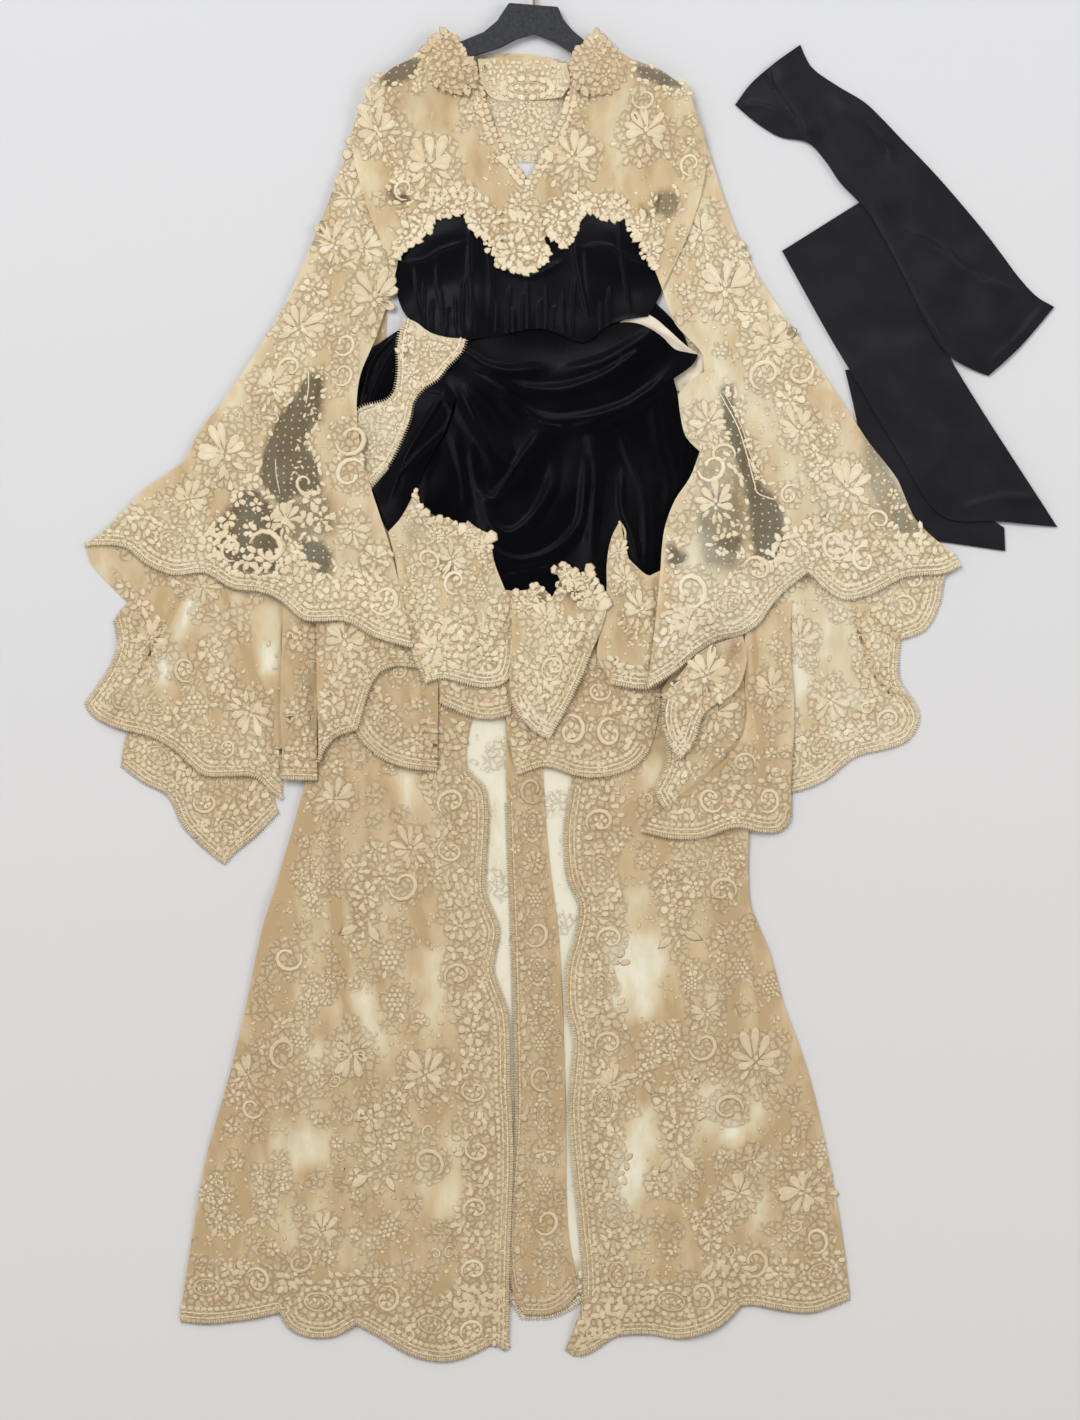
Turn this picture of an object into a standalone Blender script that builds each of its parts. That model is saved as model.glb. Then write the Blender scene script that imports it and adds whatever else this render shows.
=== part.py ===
"""Maxi dress of corded lace over black satin, laid flat with its sash and its hanger.

Every cloth piece is a thin wall cut to its outline. The pieces are laid one on another in
the order in which the dress is folded out, so each one rises over those that lie under it.
X runs across the dress, Y runs from the hem to the collar, and Z is up from the surface.
"""

from collections import namedtuple
import math

import bmesh
import bpy
from mathutils import Vector
from mathutils.geometry import delaunay_2d_cdt
import numpy as np

# Driving sizes, metres
DRESS_LENGTH = 1.57         # collar point to the longest hem
DRESS_SQUARES = 1331        # the same length on the pattern grid
GRID_SQUARE = DRESS_LENGTH / DRESS_SQUARES
LACE_WALL = 0.0013
SATIN_WALL = 0.0012
SASH_WALL = 0.0022          # satin doubled and pressed
SEAM_GAP = 0.0003
LAY_GAP = 0.0003            # between a piece and what it lies on
SLOPE_ALLOWANCE = 1.1       # a wall on a slope is this much thicker, measured upright
HANGER_THICK = 0.009
HOOK_WIRE = 0.0034          # diameter
HOOK_RADIUS = 0.021         # centre line of the hook's round
HOOK_SHANK = 0.034
CELL = 0.004                # raster of the laid heights
REACH_SHARE = 1.3           # of a piece's point spacing, that it first clears all round
SETTLE_STEPS = 14           # passes that let a piece down on those under it
SETTLE_SHARE = 0.9          # share of the free height taken in each pass
CORNER_TURN = math.radians(52)
OUTLINE_SAG = 0.0009        # most that a chord may leave its curve
LONGEST_CHORD = 0.045

# Squares of the pattern grid that lie at the origin: middle of the width, middle of the length
ORIGIN_ACROSS = 570.52
ORIGIN_DOWN = 650.51
SEAM_SQUARES = SEAM_GAP / GRID_SQUARE

Fold = namedtuple("Fold", "run left right high")      # marks; widths and height in millimetres
Flower = namedtuple("Flower", "across down size petals")

COLLECTION = bpy.data.collections.new("maxi_dress")


def clear_scene():
    """Remove whatever the file opened with."""
    for item in list(bpy.data.objects):
        bpy.data.objects.remove(item, do_unlink=True)
    bpy.context.scene.collection.children.link(COLLECTION)


def finish(name, colour, roughness, metallic=0.0):
    """Make one Principled material."""
    material = bpy.data.materials.new(name)
    material.use_nodes = True
    shader = material.node_tree.nodes["Principled BSDF"]
    shader.inputs["Base Color"].default_value = (*colour, 1.0)
    shader.inputs["Roughness"].default_value = roughness
    shader.inputs["Metallic"].default_value = metallic
    return material


def on_grid(marks):
    """Turn marks on the pattern grid (across, down) into metres."""
    marks = np.array(marks, dtype=float)
    across = (marks[:, 0] - ORIGIN_ACROSS) * GRID_SQUARE
    up = (ORIGIN_DOWN - marks[:, 1]) * GRID_SQUARE
    return np.column_stack([across, up])


def moved(marks, across=0.0, down=0.0):
    """The same marks, moved by part of a square, as for the other side of a seam."""
    return [(a + across, d + down) for a, d in marks]


def unit(vector):
    return vector / max(np.linalg.norm(vector), 1e-9)


def curved_loop(points):
    """Run a smooth closed line through the points, with a corner where it turns sharply."""
    count = len(points)
    before = [points[i] - points[i - 1] for i in range(count)]
    after = [points[(i + 1) % count] - points[i] for i in range(count)]
    line = []
    for i in range(count):
        j = (i + 1) % count
        length = np.linalg.norm(after[i])
        leave = through(before[i], after[i], after[i]) * length
        arrive = through(before[j], after[j], before[j]) * length
        turn = math.acos(np.clip(np.dot(unit(leave), unit(arrive)), -1.0, 1.0))
        chords = math.ceil(math.sqrt(length * turn / (8 * OUTLINE_SAG)))
        chords = max(1, chords, math.ceil(length / LONGEST_CHORD))
        for step in range(chords):
            line.append(hermite(points[i], leave, points[j], arrive, step / chords))
    return np.array(line)


def through(come, go, own_side):
    """Direction of the line at a mark: along its own side at a corner, else along both."""
    cosine = np.dot(unit(come), unit(go))
    if cosine < math.cos(CORNER_TURN):
        return unit(own_side)
    return unit(unit(come) + unit(go))


def hermite(start, leave, end, arrive, t):
    a = 2 * t ** 3 - 3 * t ** 2 + 1
    b = t ** 3 - 2 * t ** 2 + t
    c = -2 * t ** 3 + 3 * t ** 2
    d = t ** 3 - t ** 2
    return a * start + b * leave + c * end + d * arrive


def run_points(run, step):
    """Points a step apart along an open line of marks."""
    corners = on_grid(run)
    line = []
    for start, end in zip(corners[:-1], corners[1:]):
        pieces = max(1, round(np.linalg.norm(end - start) / step))
        for k in range(pieces):
            line.append(start + (end - start) * k / pieces)
    line.append(corners[-1])
    return np.array(line)


def inside(points, loop):
    """Which of the points lie inside the closed loop."""
    hit = np.zeros(len(points), dtype=bool)
    x, y = points[:, 0], points[:, 1]
    for start, end in zip(loop, np.roll(loop, -1, axis=0)):
        if start[1] == end[1]:
            continue
        crosses = (start[1] > y) != (end[1] > y)
        where = (end[0] - start[0]) * (y - start[1]) / (end[1] - start[1]) + start[0]
        hit ^= crosses & (x < where)
    return hit


def side_and_distance(points, start, end):
    """Distance of each point from one stretch, and whether it lies left of it."""
    along = end - start
    t = ((points - start) @ along) / max(along @ along, 1e-12)
    nearest = start + np.clip(t, 0, 1)[:, None] * along
    distance = np.linalg.norm(points - nearest, axis=1)
    left = along[0] * (points[:, 1] - start[1]) - along[1] * (points[:, 0] - start[0]) > 0
    return distance, left


def distance_to_loop(points, loop):
    best = np.full(len(points), np.inf)
    for start, end in zip(loop, np.roll(loop, -1, axis=0)):
        best = np.minimum(best, side_and_distance(points, start, end)[0])
    return best


def fold_height(points, folds):
    """Height of the folds at the points: each is a rounded ridge along its run."""
    height = np.zeros(len(points))
    for fold in folds:
        corners = on_grid(fold.run)
        best = np.full(len(points), np.inf)
        width = np.full(len(points), fold.left / 1000)
        for start, end in zip(corners[:-1], corners[1:]):
            distance, left = side_and_distance(points, start, end)
            closer = distance < best
            best[closer] = distance[closer]
            width[closer] = np.where(left[closer], fold.left, fold.right) / 1000
        share = np.clip(best / width, 0, 1)
        height = np.maximum(height, fold.high / 1000 * (1 - share ** 2) ** 2)
    return height


def petal_height(points, flowers):
    """Thickness that the flowers add to a wall, from 0 to 1: domed petals round a boss."""
    height = np.zeros(len(points))
    for flower in flowers:
        centre = on_grid([(flower.across, flower.down)])[0]
        offset = points - centre
        radius = np.linalg.norm(offset, axis=1) / (flower.size * GRID_SQUARE)
        angle = np.arctan2(offset[:, 1], offset[:, 0])
        lobes = 0.72 + 0.28 * np.cos(angle * flower.petals)
        dome = np.clip(1 - (radius / lobes) ** 2, 0, 1)
        height = np.maximum(height, dome * (0.55 + 0.45 * np.cos(np.clip(radius, 0, 1) * math.tau) ** 2))
    return height


class LaidHeights:
    """The top of everything laid so far, on an even raster."""

    def __init__(self, half_width, half_length):
        self.west = -half_width
        self.south = -half_length
        self.top = np.zeros((round(2 * half_length / CELL), round(2 * half_width / CELL)))

    def cells(self, points):
        column = (points[:, 0] - self.west) / CELL - 0.5
        row = (points[:, 1] - self.south) / CELL - 0.5
        return row, column

    def under(self, points, reach):
        """Height of what lies under each point, taken over a reach round it and smoothed."""
        near = math.ceil(reach / CELL) + 1
        soft = max(1, near // 2)
        field = spread(self.top, near + soft, np.maximum)
        field = average(field, soft)
        row, column = self.cells(points)
        r0 = np.clip(np.floor(row).astype(int), 0, field.shape[0] - 2)
        c0 = np.clip(np.floor(column).astype(int), 0, field.shape[1] - 2)
        fr = np.clip(row - r0, 0, 1)
        fc = np.clip(column - c0, 0, 1)
        low = field[r0, c0] * (1 - fc) + field[r0, c0 + 1] * fc
        high = field[r0 + 1, c0] * (1 - fc) + field[r0 + 1, c0 + 1] * fc
        return low * (1 - fr) + high * fr

    def settle(self, points, heights, faces):
        """Let a piece down on what is there until each of its triangles bears on something."""
        ground = spread(self.top, 1, np.maximum)
        sample_face, sample_row, sample_column, share = self.samples(points, faces)
        corners = np.array(faces)
        for _ in range(SETTLE_STEPS):
            level = (heights[corners[sample_face]] * share).sum(axis=1)
            slack = level - ground[sample_row, sample_column]
            by_face = np.full(len(corners), np.inf)
            np.minimum.at(by_face, sample_face, slack)
            by_point = np.full(len(points), np.inf)
            for side in range(3):
                np.minimum.at(by_point, corners[:, side], by_face)
            heights = heights - np.clip(by_point, 0, None) * SETTLE_SHARE
        return heights

    def samples(self, points, faces):
        """The cells that each triangle covers, with each corner's share of the height there."""
        row, column = self.cells(points)
        found = []
        for index, face in enumerate(faces):
            rows, columns, one, two = covered(row[face], column[face])
            for corner in range(3):
                rows = np.append(rows, round(row[face[corner]]))
                columns = np.append(columns, round(column[face[corner]]))
                one = np.append(one, 1.0 if corner == 1 else 0.0)
                two = np.append(two, 1.0 if corner == 2 else 0.0)
            found.append(np.column_stack([np.full(len(rows), index), rows, columns,
                                          1 - one - two, one, two]))
        table = np.vstack(found)
        whole = table[:, :3].astype(int)
        return whole[:, 0], whole[:, 1], whole[:, 2], table[:, 3:]

    def lay(self, points, tops, faces):
        """Add the tops of one piece."""
        row, column = self.cells(points)
        for face in faces:
            z = tops[face]
            rows, columns, one, two = covered(row[face], column[face])
            height = z[0] + one * (z[1] - z[0]) + two * (z[2] - z[0]) + LAY_GAP
            np.maximum.at(self.top, (rows, columns), height)
        r_near = np.round(row).astype(int)
        c_near = np.round(column).astype(int)
        np.maximum.at(self.top, (r_near, c_near), tops + LAY_GAP)


def covered(r, c):
    """Cells inside one triangle, and the shares of its second and third corner there."""
    rows, columns = np.mgrid[math.floor(r.min()):math.ceil(r.max()) + 1,
                             math.floor(c.min()):math.ceil(c.max()) + 1]
    area = (c[1] - c[0]) * (r[2] - r[0]) - (c[2] - c[0]) * (r[1] - r[0])
    one = ((columns - c[0]) * (r[2] - r[0]) - (c[2] - c[0]) * (rows - r[0])) / area
    two = ((c[1] - c[0]) * (rows - r[0]) - (columns - c[0]) * (r[1] - r[0])) / area
    hit = (one >= -0.01) & (two >= -0.01) & (one + two <= 1.01)
    return rows[hit], columns[hit], one[hit], two[hit]


def spread(field, cells, pick):
    """Each cell takes the highest value within some cells of it."""
    for axis in (0, 1):
        result = field.copy()
        for step in range(1, cells + 1):
            result = pick(result, np.roll(field, step, axis))
            result = pick(result, np.roll(field, -step, axis))
        field = result
    return field


def average(field, cells):
    for axis in (0, 1):
        total = field.copy()
        for step in range(1, cells + 1):
            total += np.roll(field, step, axis) + np.roll(field, -step, axis)
        field = total / (2 * cells + 1)
    return field


LAID = LaidHeights(half_width=0.68, half_length=0.92)


def inner_points(loop, holes, folds, spacing):
    """Points inside an outline: along the folds first, then an even field between them."""
    wanted = []
    for fold in folds:
        crest = run_points(fold.run, spacing * 0.9)
        direction = np.gradient(crest, axis=0)
        direction /= np.maximum(np.linalg.norm(direction, axis=1), 1e-9)[:, None]
        across = np.column_stack([-direction[:, 1], direction[:, 0]])
        wanted += [(point, 0.45) for point in crest]
        wanted += [(point, 0.4) for point in crest + across * fold.left / 1000 * 0.62]
        wanted += [(point, 0.4) for point in crest - across * fold.right / 1000 * 0.62]
    low, high = loop.min(axis=0), loop.max(axis=0)
    row_step = spacing * math.sqrt(3) / 2
    for row in range(int((high[1] - low[1]) / row_step) + 1):
        shift = spacing / 2 * (row % 2)
        for column in range(int((high[0] - low[0]) / spacing) + 1):
            point = low + np.array([shift + column * spacing, row * row_step])
            wanted.append((point, 0.75))
    points = np.array([point for point, room in wanted])
    room = np.array([room for point, room in wanted]) * spacing
    keep = inside(points, loop) & (distance_to_loop(points, loop) > 0.42 * spacing)
    for hole in holes:
        keep &= ~inside(points, hole) & (distance_to_loop(points, hole) > 0.3 * spacing)
    chosen = np.empty((0, 2))
    for point, clear in zip(points[keep], room[keep]):
        if not len(chosen) or np.min(np.linalg.norm(chosen - point, axis=1)) > clear:
            chosen = np.vstack([chosen, point])
    return chosen


def triangles(loop, holes, extra):
    """Fill the outline with triangles that face up."""
    points = [Vector(point) for point in loop]
    edges = ring_edges(0, len(loop))
    for hole in holes:
        edges += ring_edges(len(points), len(hole))
        points += [Vector(point) for point in hole]
    points += [Vector(point) for point in extra]
    flat, _, faces, _, _, _ = delaunay_2d_cdt(points, edges, [], 1, 1e-7)
    flat = np.array([tuple(point) for point in flat])
    centres = np.array([flat[list(face)].mean(axis=0) for face in faces])
    keep = inside(centres, loop)
    for hole in holes:
        keep &= ~inside(centres, hole)
    upward = []
    for face, kept in zip(faces, keep):
        if kept:
            a, b, c = (flat[i] for i in face)
            turn = (b[0] - a[0]) * (c[1] - a[1]) - (b[1] - a[1]) * (c[0] - a[0])
            upward.append(tuple(face) if turn > 0 else tuple(reversed(face)))
    used = sorted({i for face in upward for i in face})
    place = {old: new for new, old in enumerate(used)}
    return flat[used], [[place[i] for i in face] for face in upward]


def ring_edges(first, count):
    return [(first + k, first + (k + 1) % count) for k in range(count)]


def cut_cloth(name, cloth, outline, wall, spacing=None, folds=(), holes=(), flowers=(), raised=0.0):
    """Cut one piece, lay it on what is there, and give it its wall.

    A piece with no spacing lies flat on the surface and has no inner points. Flowers thicken
    the wall on its outer side, by up to the raised height.
    """
    loop = curved_loop(on_grid(outline))
    rings = [curved_loop(on_grid(hole)) for hole in holes]
    extra = inner_points(loop, rings, folds, spacing) if spacing else np.empty((0, 2))
    flat, faces = triangles(loop, rings, extra)
    bottom = np.zeros(len(flat))
    if spacing:
        held_up = LAID.under(flat, spacing * REACH_SHARE)
        bottom = LAID.settle(flat, held_up, faces) + fold_height(flat, folds)
    growth = petal_height(flat, flowers) * raised
    LAID.lay(flat, bottom + wall * SLOPE_ALLOWANCE + growth, faces)
    mesh = bpy.data.meshes.new(name)
    mesh.from_pydata(np.column_stack([flat, bottom]).tolist(), [], faces)
    mesh.materials.append(cloth)
    mesh.shade_smooth()
    piece = bpy.data.objects.new(name, mesh)
    COLLECTION.objects.link(piece)
    solidify = piece.modifiers.new("wall", "SOLIDIFY")
    solidify.thickness = wall + raised
    solidify.offset = 1.0
    if raised:
        group = piece.vertex_groups.new(name="thickness")
        for index, extra_height in enumerate(growth):
            group.add([index], (wall + extra_height) / (wall + raised), "REPLACE")
        solidify.vertex_group = "thickness"
    return piece


clear_scene()
LACE = finish("corded_lace", (0.74, 0.62, 0.43), 0.85)
THICK_LACE = finish("thick_lace_flowers", (0.80, 0.70, 0.52), 0.8)
SATIN = finish("black_satin", (0.012, 0.012, 0.014), 0.35)
FACING = finish("cream_facing", (0.80, 0.72, 0.58), 0.7)
HANGER_BLACK = finish("black_hanger", (0.03, 0.03, 0.035), 0.5)
BRASS = finish("brass_wire", (0.72, 0.55, 0.30), 0.3, 1.0)

# Sash, laid beside the dress: its two long stretches cross, and the end is folded under
SASH_UNDER = [(845, 370), (900, 372), (1000, 505), (1005, 551), (970, 546), (936, 541),
              (900, 532), (878, 502), (863, 458), (856, 418)]
SASH_LOWER = [(782, 251), (855, 201), (925, 300), (950, 358), (975, 400), (1020, 470),
              (1057, 527), (990, 521), (945, 518), (900, 455), (860, 388), (820, 320)]
SASH_UPPER = [(735, 105), (750, 85), (775, 63), (800, 45), (811, 67), (865, 103), (900, 138),
              (940, 180), (985, 233), (1037, 297), (1054, 307), (1020, 347), (988, 376),
              (950, 357), (900, 270), (868, 213), (840, 183), (808, 143), (780, 137), (750, 118)]
cut_cloth("sash_under_end", SATIN, SASH_UNDER, SASH_WALL)
cut_cloth("sash_lower", SATIN, SASH_LOWER, SASH_WALL, 0.034)
cut_cloth("sash_upper", SATIN, SASH_UPPER, SASH_WALL, 0.03, folds=[
    Fold([(745, 100), (775, 112), (808, 132)], 12, 8, 4),
    Fold([(775, 68), (815, 110), (880, 175), (960, 290), (1010, 345)], 16, 16, 3)])

# Flat backs on the surface, seamed edge to edge at the waist, the yoke and the armholes
WAIST_DOWN = 338
YOKE_SEAM_DOWN = 225
ARMHOLE_LEFT = [(378, 92), (381, 160), (390, YOKE_SEAM_DOWN)]
ARMHOLE_RIGHT = [(678, 95), (680, 160), (672, YOKE_SEAM_DOWN)]
BODICE_BACK = [(425, WAIST_DOWN), (404, 305), (398, 262), (410, YOKE_SEAM_DOWN),
               (645, YOKE_SEAM_DOWN), (656, 262), (655, 305), (642, WAIST_DOWN)]
YOKE_BACK = (ARMHOLE_LEFT[::-1] + [(430, 66), (455, 60), (490, 55), (530, 54), (568, 62),
             (620, 68)] + ARMHOLE_RIGHT)
KEYHOLE = [(516, 163), (539, 163), (535, 178), (528, 189), (521, 178)]
SKIRT_BACK = [(440, WAIST_DOWN), (630, WAIST_DOWN), (668, 480), (735, 778), (756, 948),
              (795, 1073), (826, 1216), (836, 1288), (760, 1296), (690, 1316), (640, 1306),
              (583, 1300), (571, 1309), (549, 1318), (522, 1318), (510, 1300), (430, 1318),
              (370, 1306), (290, 1300), (240, 1306), (196, 1306), (205, 1216), (222, 1140),
              (245, 1040), (262, 960), (300, 810), (330, 700), (400, 480)]
SLEEVE_LEFT_TIP = [(150, 690), (125, 740), (121, 765), (145, 783), (168, 795), (183, 825),
                   (210, 852), (225, 864), (233, 854), (255, 836), (279, 812), (266, 765),
                   (262, 700), (210, 690)]
SLEEVE_LEFT_BACK = [(86, 548), (90, 562), (110, 585), (128, 603), (115, 620), (119, 640),
                    (112, 665), (86, 703), (92, 714), (118, 728), (150, 736), (175, 750),
                    (205, 775), (256, 777), (270, 790), (282, 799), (284, 700), (286, 610),
                    (330, 560), (375, 430), (388, 300)]
SLEEVE_LEFT_BACK_OUTER = [(356, 135), (338, 190), (300, 280), (250, 370), (200, 445),
                          (150, 492), (105, 534)]
SLEEVE_RIGHT_BACK = [(722, 200), (760, 284), (820, 376), (868, 450), (903, 505), (928, 540),
                     (957, 567), (945, 575), (940, 600), (925, 630), (900, 640), (899, 680),
                     (915, 705), (919, 716), (908, 740), (880, 750), (855, 757), (825, 780),
                     (790, 792), (752, 790), (751, 640), (740, 560), (700, 430), (678, 300)]
cut_cloth("bodice_back", SATIN, BODICE_BACK, SATIN_WALL)
cut_cloth("yoke_back", LACE, moved(YOKE_BACK, down=-SEAM_SQUARES), LACE_WALL, holes=[KEYHOLE])
cut_cloth("skirt_back", LACE, moved(SKIRT_BACK, down=SEAM_SQUARES), LACE_WALL)
cut_cloth("sleeve_left_tip", LACE, SLEEVE_LEFT_TIP, LACE_WALL, 0.03, folds=[
    Fold([(224, 765), (225, 850)], 7, 7, 5),
    Fold([(170, 720), (180, 800)], 14, 14, 3)])
cut_cloth("sleeve_left_back", LACE,
          SLEEVE_LEFT_BACK + moved(ARMHOLE_LEFT[::-1], across=-SEAM_SQUARES)
          + SLEEVE_LEFT_BACK_OUTER, LACE_WALL, 0.036, folds=[
    Fold([(200, 577), (175, 625), (145, 680), (118, 726)], 12, 20, 5),
    Fold([(240, 600), (225, 690), (215, 772)], 16, 16, 3),
    Fold([(262, 596), (263, 700), (264, 785)], 6, 6, 4),
    Fold([(276, 605), (276, 700), (277, 795)], 5, 5, 3)])
cut_cloth("sleeve_right_back", LACE,
          moved(ARMHOLE_RIGHT, across=SEAM_SQUARES)[::-1] + SLEEVE_RIGHT_BACK,
          LACE_WALL, 0.036, folds=[
    Fold([(790, 590), (800, 690), (810, 780)], 14, 14, 3),
    Fold([(840, 600), (870, 680), (885, 745)], 14, 14, 4),
    Fold([(760, 600), (768, 700), (770, 788)], 10, 10, 3)])

# Centre back pleat: the back panel's fullness folded over itself
BACK_PLEAT = [(506, 560), (545, 560), (543, 774), (549, 859), (558, 930), (565, 1082),
              (569, 1238), (579, 1292), (566, 1306), (549, 1314), (524, 1314), (514, 1296),
              (515, 1104), (512, 948), (506, 774)]
cut_cloth("skirt_back_pleat", LACE, BACK_PLEAT, LACE_WALL, 0.036)

# Hanger: one flat bar with a raised hub, and a wire hook
HANGER = [(509, 4), (558, 8), (563, 20), (572, 31), (585, 42), (620, 56), (662, 72), (682, 86),
          (679, 96), (668, 97), (620, 76), (572, 54), (534, 35), (500, 49), (468, 59), (430, 72),
          (392, 88), (381, 88), (379, 80), (394, 68), (430, 53), (460, 43), (484, 33), (497, 22)]
HUB_SLOPE = (8 - 4) / (558 - 509)          # the hub's top edge falls to the right
HOOK_ACROSS = 534
HOOK_FOOT_DOWN = 4 + (HOOK_ACROSS - 509) * HUB_SLOPE


def lay_hanger():
    """Extrude the hanger's outline and set it on the yoke's back."""
    loop = curved_loop(on_grid(HANGER))
    seat = LAID.top.max(initial=0, where=hanger_cells(loop))
    curve = bpy.data.curves.new("hanger", "CURVE")
    curve.dimensions = "2D"
    curve.fill_mode = "BOTH"
    curve.extrude = HANGER_THICK / 2
    spline = curve.splines.new("POLY")
    spline.points.add(len(loop) - 1)
    for point, place in zip(spline.points, loop):
        point.co = (*place, 0.0, 1.0)
    spline.use_cyclic_u = True
    source = bpy.data.objects.new("hanger_outline", curve)
    COLLECTION.objects.link(source)
    graph = bpy.context.evaluated_depsgraph_get()
    mesh = bpy.data.meshes.new_from_object(source.evaluated_get(graph))
    bpy.data.objects.remove(source, do_unlink=True)
    work = bmesh.new()
    work.from_mesh(mesh)
    bmesh.ops.remove_doubles(work, verts=work.verts, dist=0.00001)
    bmesh.ops.recalc_face_normals(work, faces=work.faces)
    work.to_mesh(mesh)
    work.free()
    mesh.name = "hanger"
    mesh.materials.clear()
    mesh.materials.append(HANGER_BLACK)
    hanger = bpy.data.objects.new("hanger", mesh)
    hanger.location.z = seat + HANGER_THICK / 2
    COLLECTION.objects.link(hanger)
    bevel = hanger.modifiers.new("eased_edges", "BEVEL")
    bevel.width = 0.0012
    bevel.segments = 1
    bevel.limit_method = "ANGLE"
    bevel.angle_limit = math.radians(60)
    flat, faces = triangles(loop, [], np.empty((0, 2)))
    LAID.lay(flat, np.full(len(flat), seat + HANGER_THICK), faces)
    return seat + HANGER_THICK / 2


def hanger_cells(loop):
    """Which cells of the raster lie under the hanger, with one cell to spare."""
    rows, columns = LAID.top.shape
    x = LAID.west + (np.arange(columns) + 0.5) * CELL
    y = LAID.south + (np.arange(rows) + 0.5) * CELL
    cells = np.column_stack([np.tile(x, rows), np.repeat(y, columns)])
    near = inside(cells, loop) | (distance_to_loop(cells, loop) < 2 * CELL)
    return near.reshape(rows, columns)


def lay_hook(height):
    """Bend the hook's wire: a shank out of the hub, then most of a round."""
    foot = on_grid([(HOOK_ACROSS, HOOK_FOOT_DOWN)])[0]
    foot[1] += SEAM_GAP + HOOK_WIRE / 2 * HUB_SLOPE
    points = [(foot[0], foot[1] + HOOK_SHANK * k / 3, height) for k in range(3)]
    centre = foot + np.array([0, HOOK_SHANK + HOOK_RADIUS])
    for step in range(19):
        angle = math.radians(-90 + step * 14)
        points.append((centre[0] + HOOK_RADIUS * math.cos(angle),
                       centre[1] + HOOK_RADIUS * math.sin(angle), height))
    curve = bpy.data.curves.new("hook", "CURVE")
    curve.dimensions = "3D"
    curve.bevel_depth = HOOK_WIRE / 2
    curve.bevel_resolution = 2
    curve.use_fill_caps = True
    curve.materials.append(BRASS)
    spline = curve.splines.new("POLY")
    spline.points.add(len(points) - 1)
    for point, place in zip(spline.points, points):
        point.co = (*place, 1.0)
    hook = bpy.data.objects.new("hook", curve)
    COLLECTION.objects.link(hook)


lay_hook(lay_hanger())

# Long lace skirt: two front panels that meet the back at the waist and part at the centre
SKIRT_LEFT = [(430, 345), (505, 345), (500, 560), (475, 700), (468, 769), (484, 787), (488, 827),
              (486, 894), (499, 930), (493, 970), (507, 1010), (510, 1082), (513, 1149),
              (510, 1247), (508, 1350), (493, 1343), (472, 1354), (446, 1361), (410, 1354),
              (379, 1336), (356, 1323), (334, 1336), (307, 1336), (289, 1327), (280, 1312),
              (240, 1320), (209, 1323), (180, 1321), (190, 1250), (208, 1150), (227, 1085),
              (249, 992), (262, 930), (280, 872), (307, 778), (330, 690), (400, 480)]
SKIRT_RIGHT = [(575, 345), (632, 345), (668, 480), (742, 770), (748, 832), (750, 903), (768, 948),
               (783, 1001), (808, 1073), (826, 1149), (839, 1216), (850, 1298), (812, 1312),
               (768, 1307), (741, 1305), (723, 1323), (679, 1338), (652, 1334), (616, 1336),
               (594, 1350), (574, 1356), (565, 1350), (583, 1296), (580, 1234), (569, 1104),
               (574, 1037), (567, 1010), (567, 966), (580, 908), (569, 881), (565, 827),
               (571, 787), (568, 700), (565, 560)]
cut_cloth("skirt_left", LACE, SKIRT_LEFT, LACE_WALL, 0.04, folds=[
    Fold([(420, 500), (345, 860), (337, 1060), (345, 1320)], 18, 18, 6),
    Fold([(375, 600), (285, 1000), (250, 1310)], 18, 18, 5),
    Fold([(455, 600), (418, 900), (428, 1345)], 18, 18, 5)])
cut_cloth("skirt_right", LACE, SKIRT_RIGHT, LACE_WALL, 0.04, folds=[
    Fold([(600, 560), (618, 800), (612, 1000), (630, 1325)], 16, 16, 5),
    Fold([(640, 500), (668, 860), (690, 1180), (698, 1325)], 18, 18, 7),
    Fold([(660, 560), (722, 900), (768, 1160), (785, 1300)], 18, 18, 6)])

# Satin skirt layer: wings under the sleeves, side tab, strap, draped front and tail
SATIN_WING_LEFT = [(318, 365), (331, 372), (332, 420), (325, 470), (335, 540), (337, 580),
                   (310, 578), (285, 562), (240, 590), (205, 560), (215, 520), (245, 480),
                   (265, 430), (295, 390)]
SATIN_WING_RIGHT = [(715, 378), (728, 372), (745, 420), (760, 470), (778, 500), (785, 540),
                    (782, 575), (740, 600), (700, 590), (672, 570), (680, 520), (700, 498),
                    (735, 492), (728, 440), (716, 400)]
SATIN_TAB_LEFT = [(420, 322), (400, 330), (375, 346), (358, 356), (350, 400), (352, 420),
                  (375, 425), (400, 410), (420, 370), (425, 335)]
SATIN_STRAP_RIGHT = [(650, 298), (668, 315), (682, 332), (690, 352), (668, 345), (640, 325)]
WAIST_FACING = [(620, 322), (645, 314), (665, 327), (690, 349), (704, 357), (706, 368),
                (694, 381), (680, 392), (660, 380), (650, 350)]
SATIN_DRAPE = [(418, 324), (450, 333), (500, 330), (535, 323), (565, 331), (590, 337),
               (605, 329), (622, 323), (640, 325), (662, 338), (675, 350), (698, 355),
               (693, 364), (673, 379), (677, 395), (684, 430), (706, 460), (700, 485),
               (686, 520), (676, 570), (655, 587), (630, 592), (606, 614), (560, 611),
               (540, 600), (500, 600), (484, 560), (476, 544), (440, 530), (412, 512),
               (410, 470), (414, 440), (424, 400), (411, 372), (408, 345)]
SATIN_TAIL = [(440, 376), (425, 386), (408, 410), (398, 445), (380, 472), (366, 490),
              (377, 512), (390, 534), (402, 520), (414, 497), (426, 468), (446, 430), (456, 396)]
cut_cloth("satin_wing_left", SATIN, SATIN_WING_LEFT, SATIN_WALL, 0.03, folds=[
    Fold([(310, 385), (290, 460), (270, 560)], 12, 12, 4)])
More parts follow.
